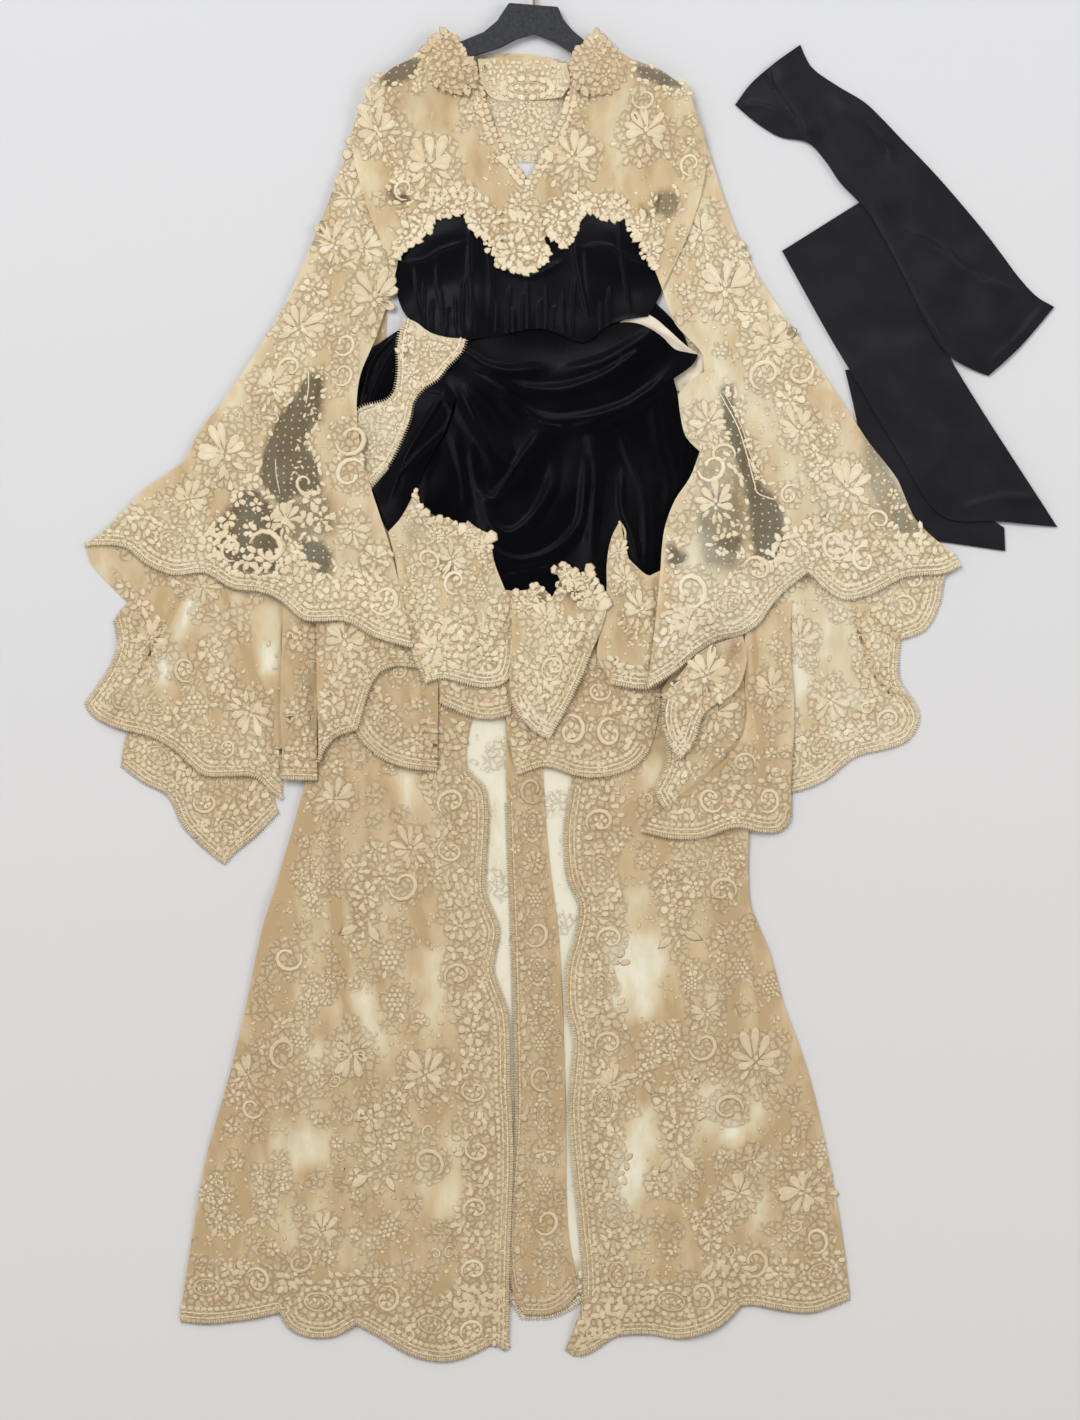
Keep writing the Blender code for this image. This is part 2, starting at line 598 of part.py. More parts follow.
cut_cloth("satin_wing_right", SATIN, SATIN_WING_RIGHT, SATIN_WALL, 0.03, folds=[
    Fold([(722, 390), (748, 470), (765, 560)], 8, 8, 3)])
cut_cloth("satin_tab_left", SATIN, SATIN_TAB_LEFT, SATIN_WALL, 0.016, folds=[
    Fold([(405, 332), (378, 372), (368, 410)], 7, 7, 5),
    Fold([(395, 345), (390, 380), (380, 405)], 5, 5, 4)])
cut_cloth("satin_strap_right", SATIN, SATIN_STRAP_RIGHT, SATIN_WALL, 0.02)
cut_cloth("waist_facing_right", FACING, WAIST_FACING, LACE_WALL, 0.02)
DRAPE_FOLDS = [
    Fold([(455, 345), (490, 368), (520, 385), (570, 395), (620, 375), (655, 342)], 7, 10, 8),
    Fold([(480, 352), (520, 366), (560, 372), (600, 366), (640, 342)], 6, 8, 6),
    Fold([(480, 385), (535, 409), (570, 415), (610, 404), (650, 388), (685, 362)], 7, 9, 8),
    Fold([(430, 388), (448, 410), (452, 432), (420, 450), (388, 480)], 6, 8, 6),
    Fold([(450, 392), (461, 415), (462, 445), (450, 480), (430, 505)], 6, 8, 6),
    Fold([(458, 388), (480, 420), (500, 460), (512, 472), (545, 440)], 7, 9, 9),
    Fold([(465, 405), (476, 445), (490, 480), (500, 515), (520, 525), (545, 490)], 6, 8, 7),
    Fold([(488, 500), (497, 540), (520, 556), (545, 538), (565, 500), (585, 450)], 7, 10, 8),
    Fold([(590, 430), (597, 480), (600, 540), (603, 600)], 7, 7, 6),
    Fold([(612, 420), (622, 480), (628, 530), (640, 572)], 6, 6, 7),
    Fold([(635, 415), (644, 470), (648, 520), (652, 570)], 6, 6, 6),
    Fold([(660, 400), (668, 440), (672, 490), (664, 545)], 8, 8, 5)]
cut_cloth("satin_drape", SATIN, SATIN_DRAPE, SATIN_WALL, 0.0145, folds=DRAPE_FOLDS)
cut_cloth("satin_tail_left", SATIN, SATIN_TAIL, SATIN_WALL, 0.016, folds=[
    Fold([(446, 392), (425, 425), (405, 460), (388, 505)], 7, 7, 6)])

# Bustier front: two cups, seams between them, and short gathers over the waist seam
BODICE_FRONT = [(393, 262), (390, 225), (384, 196), (392, 184), (406, 186), (413, 204),
                (430, 212), (462, 198), (490, 228), (500, 252), (540, 254), (548, 235),
                (580, 203), (625, 212), (645, 220), (648, 200), (662, 190), (678, 196),
                (680, 215), (672, 240), (663, 266), (662, 290), (648, 317), (622, 321),
                (610, 325), (597, 335), (585, 343), (565, 337), (550, 331), (535, 329),
                (500, 336), (470, 340), (435, 336), (410, 320), (400, 304), (394, 276)]
GATHER_TOP_DOWN = 302
GATHER_FOOT_DOWN = 330
GATHERS_ACROSS = [432, 446, 460, 516, 528, 540, 572, 584]
CUPS = [Fold([(430, 245), (450, 235)], 42, 42, 9), Fold([(605, 232), (628, 245)], 42, 42, 9)]
BODICE_SEAMS = [Fold([(477, 232), (478, 290), (476, 334)], 8, 5, 4),
                Fold([(577, 240), (588, 290), (592, 330)], 5, 8, 4)]
gathers = [Fold([(across, GATHER_TOP_DOWN), (across + 1, GATHER_FOOT_DOWN)], 5, 5, 3)
           for across in GATHERS_ACROSS]
cut_cloth("bodice_front", SATIN, BODICE_FRONT, SATIN_WALL, 0.018,
          folds=CUPS + BODICE_SEAMS + gathers)

# Lace over the satin: hip strip and the peplum's tiers, the lower ones first
HIP_STRIP = [(404, 318), (415, 322), (430, 333), (445, 338), (466, 340), (462, 352), (447, 368),
             (438, 380), (425, 388), (414, 402), (410, 420), (398, 448), (388, 466), (368, 488),
             (360, 470), (352, 440), (356, 412), (365, 407), (385, 402), (395, 392), (398, 345)]
PEPLUM_LEFT_UNDER = [(352, 640), (440, 640), (438, 700), (437, 771), (410, 768), (390, 762),
                     (370, 749), (355, 729)]
PEPLUM_LEFT_STRIP = [(285, 600), (324, 605), (321, 690), (319, 780), (285, 779)]
PEPLUM_CENTRE_UNDER = [(507, 640), (560, 600), (660, 600), (664, 690), (658, 715), (650, 748),
                       (635, 766), (600, 777), (575, 775), (545, 766), (530, 770), (517, 775),
                       (510, 745), (506, 715)]
PEPLUM_LEFT = [(316, 600), (405, 600), (420, 668), (395, 666), (380, 672), (368, 695), (357, 730),
               (345, 733), (330, 742), (319, 763)]
PEPLUM_SECOND_HEM = [(438, 650), (512, 650), (511, 714), (490, 719), (465, 714), (440, 703)]
PEPLUM_CENTRE_LEFT = [(417, 489), (421, 505), (432, 519), (450, 519), (463, 529), (468, 521),
                      (480, 530), (491, 534), (494, 560), (505, 590), (520, 592), (517, 640),
                      (510, 677), (500, 685), (480, 687), (440, 678), (426, 683), (411, 648),
                      (402, 600), (396, 560), (389, 532), (400, 520)]
PEPLUM_CENTRE = [(512, 592), (528, 590), (535, 582), (545, 590), (552, 597), (560, 580),
                 (555, 570), (567, 563), (580, 575), (590, 568), (597, 585), (606, 607),
                 (590, 655), (570, 700), (549, 739), (535, 732), (525, 722), (511, 700),
                 (512, 650)]
PEPLUM_RIGHT = [(607, 560), (612, 536), (620, 521), (626, 550), (632, 566), (648, 577),
                (662, 570), (690, 560), (700, 640), (672, 673), (647, 688), (612, 684),
                (597, 655), (606, 612)]
cut_cloth("hip_strip", LACE, HIP_STRIP, LACE_WALL, 0.018)
cut_cloth("peplum_left_under", LACE, PEPLUM_LEFT_UNDER, LACE_WALL, 0.022, folds=[
    Fold([(424, 690), (425, 766)], 6, 6, 5)])
cut_cloth("peplum_left_strip", LACE, PEPLUM_LEFT_STRIP, LACE_WALL, 0.024, folds=[
    Fold([(294, 612), (294, 775)], 5, 5, 5),
    Fold([(310, 612), (309, 775)], 5, 5, 5)])
cut_cloth("peplum_centre_under", LACE, PEPLUM_CENTRE_UNDER, LACE_WALL, 0.024, folds=[
    Fold([(640, 640), (610, 700), (600, 770)], 12, 12, 5),
    Fold([(545, 650), (560, 765)], 10, 10, 4)])
cut_cloth("peplum_left", LACE, PEPLUM_LEFT, LACE_WALL, 0.024, folds=[
    Fold([(345, 610), (348, 728)], 9, 9, 5),
    Fold([(378, 620), (372, 680)], 7, 7, 5)])
cut_cloth("peplum_second_hem", LACE, PEPLUM_SECOND_HEM, LACE_WALL, 0.024)
cut_cloth("peplum_centre_left", LACE, PEPLUM_CENTRE_LEFT, LACE_WALL, 0.02, folds=[
    Fold([(405, 540), (420, 620), (430, 678)], 8, 8, 6),
    Fold([(470, 560), (465, 640), (468, 682)], 9, 9, 5)])
cut_cloth("peplum_right", LACE, PEPLUM_RIGHT, LACE_WALL, 0.022, folds=[
    Fold([(655, 600), (652, 650), (645, 685)], 7, 7, 6)])
cut_cloth("peplum_centre", LACE, PEPLUM_CENTRE, LACE_WALL, 0.02, folds=[
    Fold([(600, 615), (583, 655), (563, 700), (549, 732)], 8, 6, 7),
    Fold([(540, 610), (535, 680), (530, 720)], 9, 9, 5)])

# Sleeve fronts, with the folded and turned hems of the right sleeve under and over them
SLEEVE_LEFT_FRONT = [(378, 95), (352, 135), (340, 172), (322, 220), (305, 262), (285, 305),
                     (255, 355), (225, 400), (196, 437), (185, 460), (150, 485), (105, 530),
                     (84, 546), (100, 545), (127, 548), (145, 563), (175, 575), (205, 573),
                     (232, 588), (262, 592), (280, 600), (305, 620), (345, 621), (375, 637),
                     (413, 648), (403, 600), (390, 545), (370, 485), (360, 440), (357, 412),
                     (361, 375), (375, 340), (385, 310), (394, 280), (400, 240), (392, 170),
                     (388, 110)]
SLEEVE_RIGHT_FOLD = [(662, 690), (700, 655), (744, 640), (748, 735), (715, 770), (665, 810),
                     (655, 790), (668, 760), (664, 720)]
SLEEVE_RIGHT_CASCADE = [(640, 831), (665, 808), (715, 768), (742, 737), (750, 690), (752, 620),
                        (792, 600), (794, 700), (790, 792), (789, 820), (780, 830), (765, 832),
                        (735, 827), (700, 838), (665, 837)]
SLEEVE_RIGHT_FRONT = [(680, 98), (704, 140), (719, 185), (735, 230), (760, 280), (790, 325),
                      (840, 400), (870, 445), (897, 480), (915, 520), (945, 548), (961, 565),
                      (945, 573), (905, 577), (875, 592), (845, 600), (830, 593), (808, 572),
                      (785, 590), (770, 607), (760, 622), (740, 635), (717, 640), (700, 650),
                      (672, 673), (647, 688), (654, 630), (660, 570), (664, 530), (675, 500),
                      (690, 478), (700, 452), (686, 437), (678, 395), (690, 382), (704, 372),
                      (702, 355), (676, 325), (663, 292), (655, 262), (660, 200), (668, 120)]
SLEEVE_RIGHT_RUFFLE = [(676, 680), (700, 652), (742, 636), (746, 655), (736, 690), (705, 712),
                       (692, 742), (680, 759), (668, 742), (662, 722), (664, 698)]
cut_cloth("sleeve_left_front", LACE, SLEEVE_LEFT_FRONT, LACE_WALL, 0.031, folds=[
    Fold([(368, 190), (335, 300), (290, 420), (245, 588)], 18, 18, 6),
    Fold([(383, 260), (352, 380), (333, 500), (340, 615)], 16, 16, 6),
    Fold([(350, 200), (300, 300), (225, 430), (165, 565)], 16, 16, 5),
    Fold([(392, 560), (402, 640)], 8, 8, 5)])
cut_cloth("sleeve_right_fold", LACE, SLEEVE_RIGHT_FOLD, LACE_WALL, 0.026, folds=[
    Fold([(735, 645), (728, 700), (690, 780)], 10, 10, 5)])
cut_cloth("sleeve_right_cascade", LACE, SLEEVE_RIGHT_CASCADE, LACE_WALL, 0.026, folds=[
    Fold([(650, 828), (690, 794), (738, 746)], 5, 9, 6),
    Fold([(757, 640), (755, 720), (750, 815)], 8, 8, 6),
    Fold([(778, 640), (776, 820)], 6, 6, 4)])
cut_cloth("sleeve_right_front", LACE, SLEEVE_RIGHT_FRONT, LACE_WALL, 0.031, folds=[
    Fold([(700, 200), (735, 330), (805, 450), (885, 583)], 18, 18, 6),
    Fold([(682, 260), (715, 380), (760, 500), (800, 568)], 14, 14, 6),
    Fold([(720, 230), (795, 360), (868, 475), (920, 565)], 16, 16, 5),
    Fold([(690, 350), (705, 450), (715, 560), (700, 640)], 12, 12, 6)])
cut_cloth("sleeve_right_ruffle", LACE, SLEEVE_RIGHT_RUFFLE, LACE_WALL, 0.02, folds=[
    Fold([(735, 642), (700, 668), (680, 700)], 8, 12, 6),
    Fold([(700, 705), (684, 735)], 7, 7, 4)])

# Yoke front over the sleeve heads, its collar pieces, and the thick flowers along its edge
YOKE_FRONT = [(445, 30), (456, 38), (468, 58), (475, 67), (486, 110), (500, 146), (528, 184),
              (548, 150), (566, 110), (572, 72), (575, 52), (586, 42), (596, 32), (615, 50),
              (650, 72), (680, 88), (697, 118), (706, 148), (702, 190), (686, 240), (662, 290),
              (655, 272), (635, 235), (624, 219), (600, 219), (584, 209), (578, 225), (570, 246),
              (560, 248), (553, 233), (544, 238), (550, 256), (542, 266), (520, 272), (497, 266),
              (488, 240), (474, 232), (463, 212), (445, 218), (433, 220), (427, 233), (410, 248),
              (400, 256), (392, 266), (372, 220), (358, 175), (352, 135), (360, 110), (377, 80),
              (400, 64), (425, 50)]
COLLAR_LEFT = [(445, 31), (456, 39), (468, 58), (478, 72), (474, 88), (456, 94), (436, 86),
               (420, 66), (425, 51)]
COLLAR_RIGHT = [(596, 33), (586, 43), (574, 54), (571, 72), (578, 90), (598, 96), (618, 88),
                (628, 68), (615, 51)]
COLLAR_BACK = [(478, 60), (530, 56), (566, 64), (570, 84), (562, 98), (527, 101), (492, 98),
               (482, 84)]
FLOWER_EDGE_LEFT = [(392, 265), (400, 256), (410, 248), (427, 233), (433, 220), (446, 218),
                    (463, 212), (474, 232), (488, 240), (497, 266), (500, 210), (480, 196),
                    (455, 196), (430, 202), (412, 216), (398, 236)]
FLOWER_EDGE_CENTRE = [(502, 268), (520, 272), (542, 266), (550, 256), (545, 240), (540, 214),
                      (505, 212)]
FLOWER_EDGE_RIGHT = [(548, 233), (556, 240), (562, 248), (570, 245), (578, 225), (584, 209),
                     (600, 219), (624, 219), (635, 235), (655, 272), (660, 240), (640, 212),
                     (612, 200), (585, 194), (556, 202), (545, 214)]
YOKE_FLOWERS = [
    Flower(404, 242, 13, 6), Flower(422, 224, 14, 6), Flower(444, 208, 13, 7),
    Flower(466, 206, 12, 6), Flower(480, 224, 13, 6), Flower(494, 246, 12, 6),
    Flower(514, 256, 14, 7), Flower(536, 256, 13, 6), Flower(522, 230, 14, 6),
    Flower(556, 220, 13, 6), Flower(562, 238, 9, 6), Flower(578, 208, 13, 6),
    Flower(600, 208, 13, 7), Flower(620, 212, 13, 6), Flower(638, 230, 13, 6),
    Flower(650, 252, 12, 6)]
COLLAR_FLOWERS = [
    Flower(442, 48, 13, 6), Flower(460, 68, 13, 6), Flower(438, 72, 14, 7),
    Flower(596, 50, 13, 6), Flower(584, 72, 13, 6), Flower(606, 76, 14, 7),
    Flower(498, 78, 14, 6), Flower(526, 78, 15, 8), Flower(554, 80, 14, 6)]
cut_cloth("yoke_front", LACE, YOKE_FRONT, LACE_WALL, 0.022)
for edge_name, edge_outline in (("yoke_flowers_left", FLOWER_EDGE_LEFT),
                                ("yoke_flowers_centre", FLOWER_EDGE_CENTRE),
                                ("yoke_flowers_right", FLOWER_EDGE_RIGHT)):
    cut_cloth(edge_name, THICK_LACE, edge_outline, LACE_WALL, 0.006,
              flowers=YOKE_FLOWERS, raised=0.0016)
for collar_name, collar_outline in (("collar_left", COLLAR_LEFT), ("collar_right", COLLAR_RIGHT),
                                    ("collar_back", COLLAR_BACK)):
    cut_cloth(collar_name, THICK_LACE, collar_outline, LACE_WALL, 0.0072,
              flowers=COLLAR_FLOWERS, raised=0.0014)
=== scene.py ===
import math
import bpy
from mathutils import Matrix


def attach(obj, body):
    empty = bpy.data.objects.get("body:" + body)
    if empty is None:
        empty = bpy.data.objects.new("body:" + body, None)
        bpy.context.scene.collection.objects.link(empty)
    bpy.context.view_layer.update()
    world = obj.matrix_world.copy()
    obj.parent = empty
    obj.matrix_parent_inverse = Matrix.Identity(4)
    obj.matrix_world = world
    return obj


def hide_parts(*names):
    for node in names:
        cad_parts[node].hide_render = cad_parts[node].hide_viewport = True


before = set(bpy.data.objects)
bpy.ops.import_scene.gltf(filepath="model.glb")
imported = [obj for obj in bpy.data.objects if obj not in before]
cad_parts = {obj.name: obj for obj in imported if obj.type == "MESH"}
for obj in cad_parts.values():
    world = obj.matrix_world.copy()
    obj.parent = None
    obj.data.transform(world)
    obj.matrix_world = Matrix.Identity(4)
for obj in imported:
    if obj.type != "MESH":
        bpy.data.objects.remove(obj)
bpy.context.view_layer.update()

from types import SimpleNamespace

import bmesh
import bpy
import numpy as np
from mathutils import Vector
from mathutils.geometry import delaunay_2d_cdt

# The surface that the dress is laid on: one wide pale board, lit from above by a large soft
# lamp at its top end and by an even pale room. The camera looks straight down at it.
SQUARE = 1.57 / 1331                # side of a square of the pattern grid that all marks count
CENTRE = np.array((570.52, 650.51))


def on_grid(marks):
    """Marks on the pattern grid (across, down) in metres."""
    return (np.asarray(marks, float) - CENTRE) * (SQUARE, -SQUARE)


def placed(name, data):
    thing = bpy.data.objects.new(name, data)
    bpy.context.scene.collection.objects.link(thing)
    return thing


def feed(tree, value, socket):
    """Set a socket to a plain value, or link another socket to it."""
    if isinstance(value, bpy.types.NodeSocket):
        tree.links.new(value, socket)
    else:
        socket.default_value = value


def node_of(tree, kind, **values):
    """Add a node, and give its settings and inputs their values by name."""
    node = tree.nodes.new(kind)
    for name, value in values.items():
        if hasattr(node, name):
            setattr(node, name, value)
        else:
            feed(tree, value, node.inputs[name.replace("_", " ")])
    return node


def ramp_of(tree, source, stops):
    """A colour ramp through (place, colour) stops, fed by a socket."""
    ramp = node_of(tree, "ShaderNodeValToRGB", Fac=source)
    bar = ramp.color_ramp.elements
    while len(bar) < len(stops):
        bar.new(0.5)
    for element, (place, colour) in zip(bar, stops):
        element.position = place
        element.color = (*colour, 1.0)
    return ramp.outputs["Color"]


def new_material(name, **settings):
    """A material with one Principled shader: itself, its tree, the shader, object coordinates."""
    material = bpy.data.materials.new(name)
    material.use_nodes = True
    tree = material.node_tree
    shader = tree.nodes["Principled BSDF"]
    for socket, value in settings.items():
        shader.inputs[socket.replace("_", " ")].default_value = value
    return material, tree, shader, node_of(tree, "ShaderNodeTexCoord").outputs["Object"]


BOARD_HALF = 5.0
BOARD_DROP = 0.0004                 # how far the board's face lies under the dress
board_mesh = bpy.data.meshes.new("board")
board_mesh.from_pydata([(x * BOARD_HALF, y * BOARD_HALF, -BOARD_DROP) for x, y in (
    (-1, -1), (1, -1), (1, 1), (-1, 1))], [], [(0, 1, 2, 3)])
board = placed("board", board_mesh)
board_material, tree, shader, place = new_material("board_with_painted_light_tint", Roughness=0.9, Specular_IOR_Level=0.1)
split = node_of(tree, "ShaderNodeSeparateXYZ", Vector=place)
along = node_of(tree, "ShaderNodeMapRange", Value=split.outputs["Y"], From_Min=-0.9, From_Max=0.8)
# painted light: the board's colour runs from cooler at its top to warmer at its foot, standing in for the
# change of the light along the board
feed(tree, ramp_of(tree, along.outputs[0], [(0.0, (0.765, 0.74, 0.715)), (1.0, (0.735, 0.738, 0.755))]),
     shader.inputs["Base Color"])
board_mesh.materials.append(board_material)

LENS, FILM = 135.0, 36.0            # millimetres, the film's long side upright
VIEW_HEIGHT = 1420 * SQUARE
camera = placed("camera", bpy.data.cameras.new("camera"))
camera.data.lens, camera.data.sensor_width, camera.data.clip_end = LENS, FILM, 100.0
camera.location = (*on_grid((540, 710)), LENS / FILM * VIEW_HEIGHT)
bpy.context.scene.camera = camera
bpy.context.scene.view_settings.view_transform = "Standard"

world = bpy.data.worlds.new("pale_room")
bpy.context.scene.world = world
world.use_nodes = True
tree = world.node_tree
around = node_of(tree, "ShaderNodeTexCoord").outputs["Generated"]
split = node_of(tree, "ShaderNodeSeparateXYZ", Vector=around)
feed(tree, ramp_of(tree, split.outputs["Z"], [(0.0, (0.74, 0.75, 0.77)), (0.5, (0.62, 0.635, 0.66)),
                                              (0.8, (0.30, 0.31, 0.33)), (1.0, (0.11, 0.115, 0.125))]),
     tree.nodes["Background"].inputs["Color"])
LAMPS_AIM = Vector((-0.03, -0.05, 0))
for name, spot, size, size_y, power, colour, unseen in (
        ("key_lamp", (-2.2, 3.0, 5.0), 3.2, 3.2, 235.0, (1.0, 0.985, 0.96), "visible_glossy"),
        ("side_lamp", (3.2, 0.8, 2.6), 1.6, 1.6, 36.0, (1.0, 0.97, 0.93), "visible_glossy"),
        ("top_strip", (-0.5, 2.6, 5.2), 2.4, 0.4, 34.0, (0.95, 0.97, 1.0), "visible_diffuse"),
        ("left_strip", (-2.6, 0.1, 5.2), 2.8, 0.4, 32.0, (0.95, 0.97, 1.0), "visible_diffuse")):
    lamp = placed(name, bpy.data.lights.new(name, "AREA"))
    lamp.data.shape = "RECTANGLE"
    lamp.data.size, lamp.data.size_y, lamp.data.energy, lamp.data.color = size, size_y, power, colour
    lamp.location = spot
    lamp.rotation_euler = (Vector(spot) - LAMPS_AIM).to_track_quat("Z", "Y").to_euler()
    setattr(lamp, unseen, False)

# Sash: a long black satin band, doubled and pressed, that lies beside the dress in two crossing
# stretches with one end folded under. Each stretch is cut from its packed outline and laid.
CELL = 0.002                        # raster that holds the height of what is laid
PILE_CORNER = np.array((-0.64, -0.90))
CLEARANCE = 0.00012                 # between a piece and what it lies on
MERGE = 0.00001                     # corners nearer than this are one
SMALLEST_RING = 0.0002              # square metres; a smaller outline is part of a raised flower
CREASE_STEP = 0.004
CELLS_TO_REST = 25                  # raster cells that a piece shares with one it rests on
WINDOW_MARGIN = 0.012
SHARP_CORNER = math.cos(math.radians(40))
FACES_UP = 0.3                      # a face whose normal rises more is part of the upper side
pile = np.zeros((900, 640))
pile_owner = np.full(pile.shape, -1)
laid_names = []


def cut_of(node):
    """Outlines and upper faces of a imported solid, from a merged copy of its mesh."""
    work = bmesh.new()
    work.from_mesh(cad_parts[node].data)
    bmesh.ops.remove_doubles(work, verts=work.verts, dist=MERGE)
    upper = [face for face in work.faces if face.normal.z > FACES_UP]
    points = np.array([vertex.co for vertex in work.verts])
    faces = np.array([[vertex.index for vertex in face.verts] for face in upper])
    following = {}
    chosen = set(upper)
    for face in upper:
        for loop in face.loops:
            if not any(other in chosen for other in loop.edge.link_faces if other != face):
                following.setdefault(loop.vert.index, []).append(loop.link_loop_next.vert.index)
    work.free()
    rings = []
    while following:
        start = at = next(iter(following))
        ring = []
        while at in following:
            ring.append(at)
            onward = following[at].pop()
            if not following[at]:
                del following[at]
            at = onward
            if at == start:
                break
        rings.append(points[ring][:, :2])
    return [ring for ring in rings if len(ring) > 4 and abs(ring_area(ring)) > SMALLEST_RING], points, faces


def ring_area(ring):
    x, y = ring.T
    return 0.5 * float(np.sum(x * np.roll(y, -1) - np.roll(x, -1) * y))


def unit(ways):
    return ways / np.maximum(np.linalg.norm(ways, axis=1), 1e-9)[:, None]


def bent(start, leave, end, arrive, step):
    """A smooth stretch from one point to the next, about a step between its points."""
    count = max(1, round(float(np.linalg.norm(end - start)) / step))
    t = (np.arange(count) / count)[:, None]
    return ((2 * t ** 3 - 3 * t ** 2 + 1) * start + (t ** 3 - 2 * t ** 2 + t) * leave
            + (3 * t ** 2 - 2 * t ** 3) * end + (t ** 3 - t ** 2) * arrive)


def eased_ring(ring, step):
    """A closed line run smoothly through a ring's points, with its sharp corners kept."""
    gaps = np.roll(ring, -1, 0) - ring
    after, before = unit(gaps), unit(np.roll(gaps, 1, 0))
    middle = unit(before + after)
    corner = (before * after).sum(1) < SHARP_CORNER
    parts = []
    for i, start in enumerate(ring):
        j = (i + 1) % len(ring)
        leave, arrive = ((after[i] if corner[k] else middle[k]) * np.linalg.norm(gaps[i]) for k in (i, j))
        parts.append(bent(start, leave, ring[j], arrive, step))
    return np.vstack(parts)


def eased_line(line, step):
    """An open line run smoothly through its marks, as points about a step apart."""
    slope = np.gradient(line, axis=0)
    parts = [bent(line[i], slope[i], line[i + 1], slope[i + 1], step) for i in range(len(line) - 1)]
    return np.vstack([*parts, line[-1:]])


def inside(points, ring):
    """Which of the points lie inside a closed line."""
    hit = np.zeros(len(points), bool)
    x, y = points.T
    for start, end in zip(ring, np.roll(ring, -1, 0)):
        if start[1] != end[1]:
            crosses = (start[1] > y) != (end[1] > y)
            hit ^= crosses & (x < (end[0] - start[0]) * (y - start[1]) / (end[1] - start[1]) + start[0])
    return hit


def from_line(points, line, closed=False):
    """Distance of each point from a line, how far along it, from 0 to 1, and on which side."""
    best = np.full(len(points), np.inf)
    run = np.zeros(len(points))
    left = np.zeros(len(points), bool)
    done = 0.0
    for start, end in zip(line, np.vstack([line[1:], line[:1]]) if closed else line[1:]):
        way = end - start
        length = max(float(np.hypot(*way)), 1e-9)
        off = points - start
        t = np.clip((off @ way) / length ** 2, 0, 1)
        gap = np.hypot(*(off - t[:, None] * way).T)
        near = gap < best
        best[near] = gap[near]
        run[near] = done + t[near] * length
        left[near] = (way[0] * off[:, 1] - way[1] * off[:, 0])[near] > 0
        done += length
    return best, run / done, left


def to_cells(points):
    """Places in metres as columns and rows of the raster."""
    return (points[:, :2] - PILE_CORNER) / CELL


def window_of(points):
    """The part of the raster round some points: its slices, its cells' places, shape and corner."""
    ends = np.array([points[:, :2].min(0), points[:, :2].max(0)]) + [[-WINDOW_MARGIN], [WINDOW_MARGIN]]
    (c0, r0), (c1, r1) = to_cells(ends).astype(int)
    c1, r1 = c1 + 1, r1 + 1
    x, y = (west + (np.arange(*ends) + 0.5) * CELL for west, ends in zip(PILE_CORNER, ((c0, c1), (r0, r1))))
    cells = np.column_stack([np.tile(x, len(y)), np.repeat(y, len(x))])
    return (slice(r0, r1), slice(c0, c1)), cells, (len(y), len(x)), np.array([c0, r0])


def height_map(points, faces, shape, origin):
    """Height of the faces over each cell of a window, or nan where there are none."""
    field = np.full(shape, np.nan)
    spots = to_cells(points) - 0.5 - origin
    for face in faces:
        (c, r), z = spots[face].T, points[face, 2]
        area = (c[1] - c[0]) * (r[2] - r[0]) - (c[2] - c[0]) * (r[1] - r[0])
        if abs(area) < 1e-6:
            continue
        rows, columns = np.mgrid[math.floor(r.min()):math.ceil(r.max()) + 1,
                                 math.floor(c.min()):math.ceil(c.max()) + 1]
        one = ((columns - c[0]) * (r[2] - r[0]) - (c[2] - c[0]) * (rows - r[0])) / area
        two = ((c[1] - c[0]) * (rows - r[0]) - (columns - c[0]) * (r[1] - r[0])) / area
        hit = (one >= -0.02) & (two >= -0.02) & (one + two <= 1.02)
        height = z[0] + one * (z[1] - z[0]) + two * (z[2] - z[0])
        field[rows[hit], columns[hit]] = np.fmax(field[rows[hit], columns[hit]], height[hit])
    return field


def sampled(field, points, origin):
    """A window's field at points, between its cells."""
    spots = np.clip(to_cells(points) - 0.5 - origin, 0, np.array(field.shape[::-1]) - 1.001)
    cells = spots.astype(int)
    (c, r), (past_c, past_r) = cells.T, (spots - cells).T
    low, high = (field[row, c] * (1 - past_c) + field[row, c + 1] * past_c for row in (r, r + 1))
    return low * (1 - past_r) + high * past_r


def blurred(field, mask, spread):
    """The field softened over its mask, and carried on past the mask's edge."""
    reach = max(1, math.ceil(2.5 * spread))
    weights = np.exp(-0.5 * (np.arange(-reach, reach + 1) / spread) ** 2)
    total, share = np.where(mask, field, 0.0), mask.astype(float)
    for axis in (0, 1):
        total, share = (sum(w * np.roll(a, k, axis) for k, w in zip(range(-reach, reach + 1), weights))
                        for a in (total, share))
    filled = total / np.maximum(share, 1e-12)
    return np.where(share > 1e-9, filled, np.nanmean(np.where(mask, field, np.nan)))


def highest_near(field, cells):
    for axis in (0, 1):
        field = np.max([np.roll(field, k, axis) for k in range(-cells, cells + 1)], axis=0)
    return field


def crease_field(cells, creases):
    """Height that creases add: each is (run, left, right, high), in squares and millimetres."""
    height = np.zeros(len(cells))
    for run, left, right, high in creases:
        line = on_grid(run)
        reach = max(left, right) / 1000
        near = np.flatnonzero(((cells > line.min(0) - reach) & (cells < line.max(0) + reach)).all(1))
        if not len(near):
            continue
        gap, along, on_left = from_line(cells[near], eased_line(line, CREASE_STEP))
        share = np.clip(gap / np.where(on_left, left, right) * 1000, 0, 1)
        ends = np.clip(np.minimum(along, 1 - along) * 5 + 0.15, 0, 1)
        rise = high / 1000 * (1 - share ** 2) ** 2 * ends
        if high > 0:
            height[near] = np.maximum(height[near], height[near] * 0.35 + rise)
        else:
            height[near] += rise
    return height


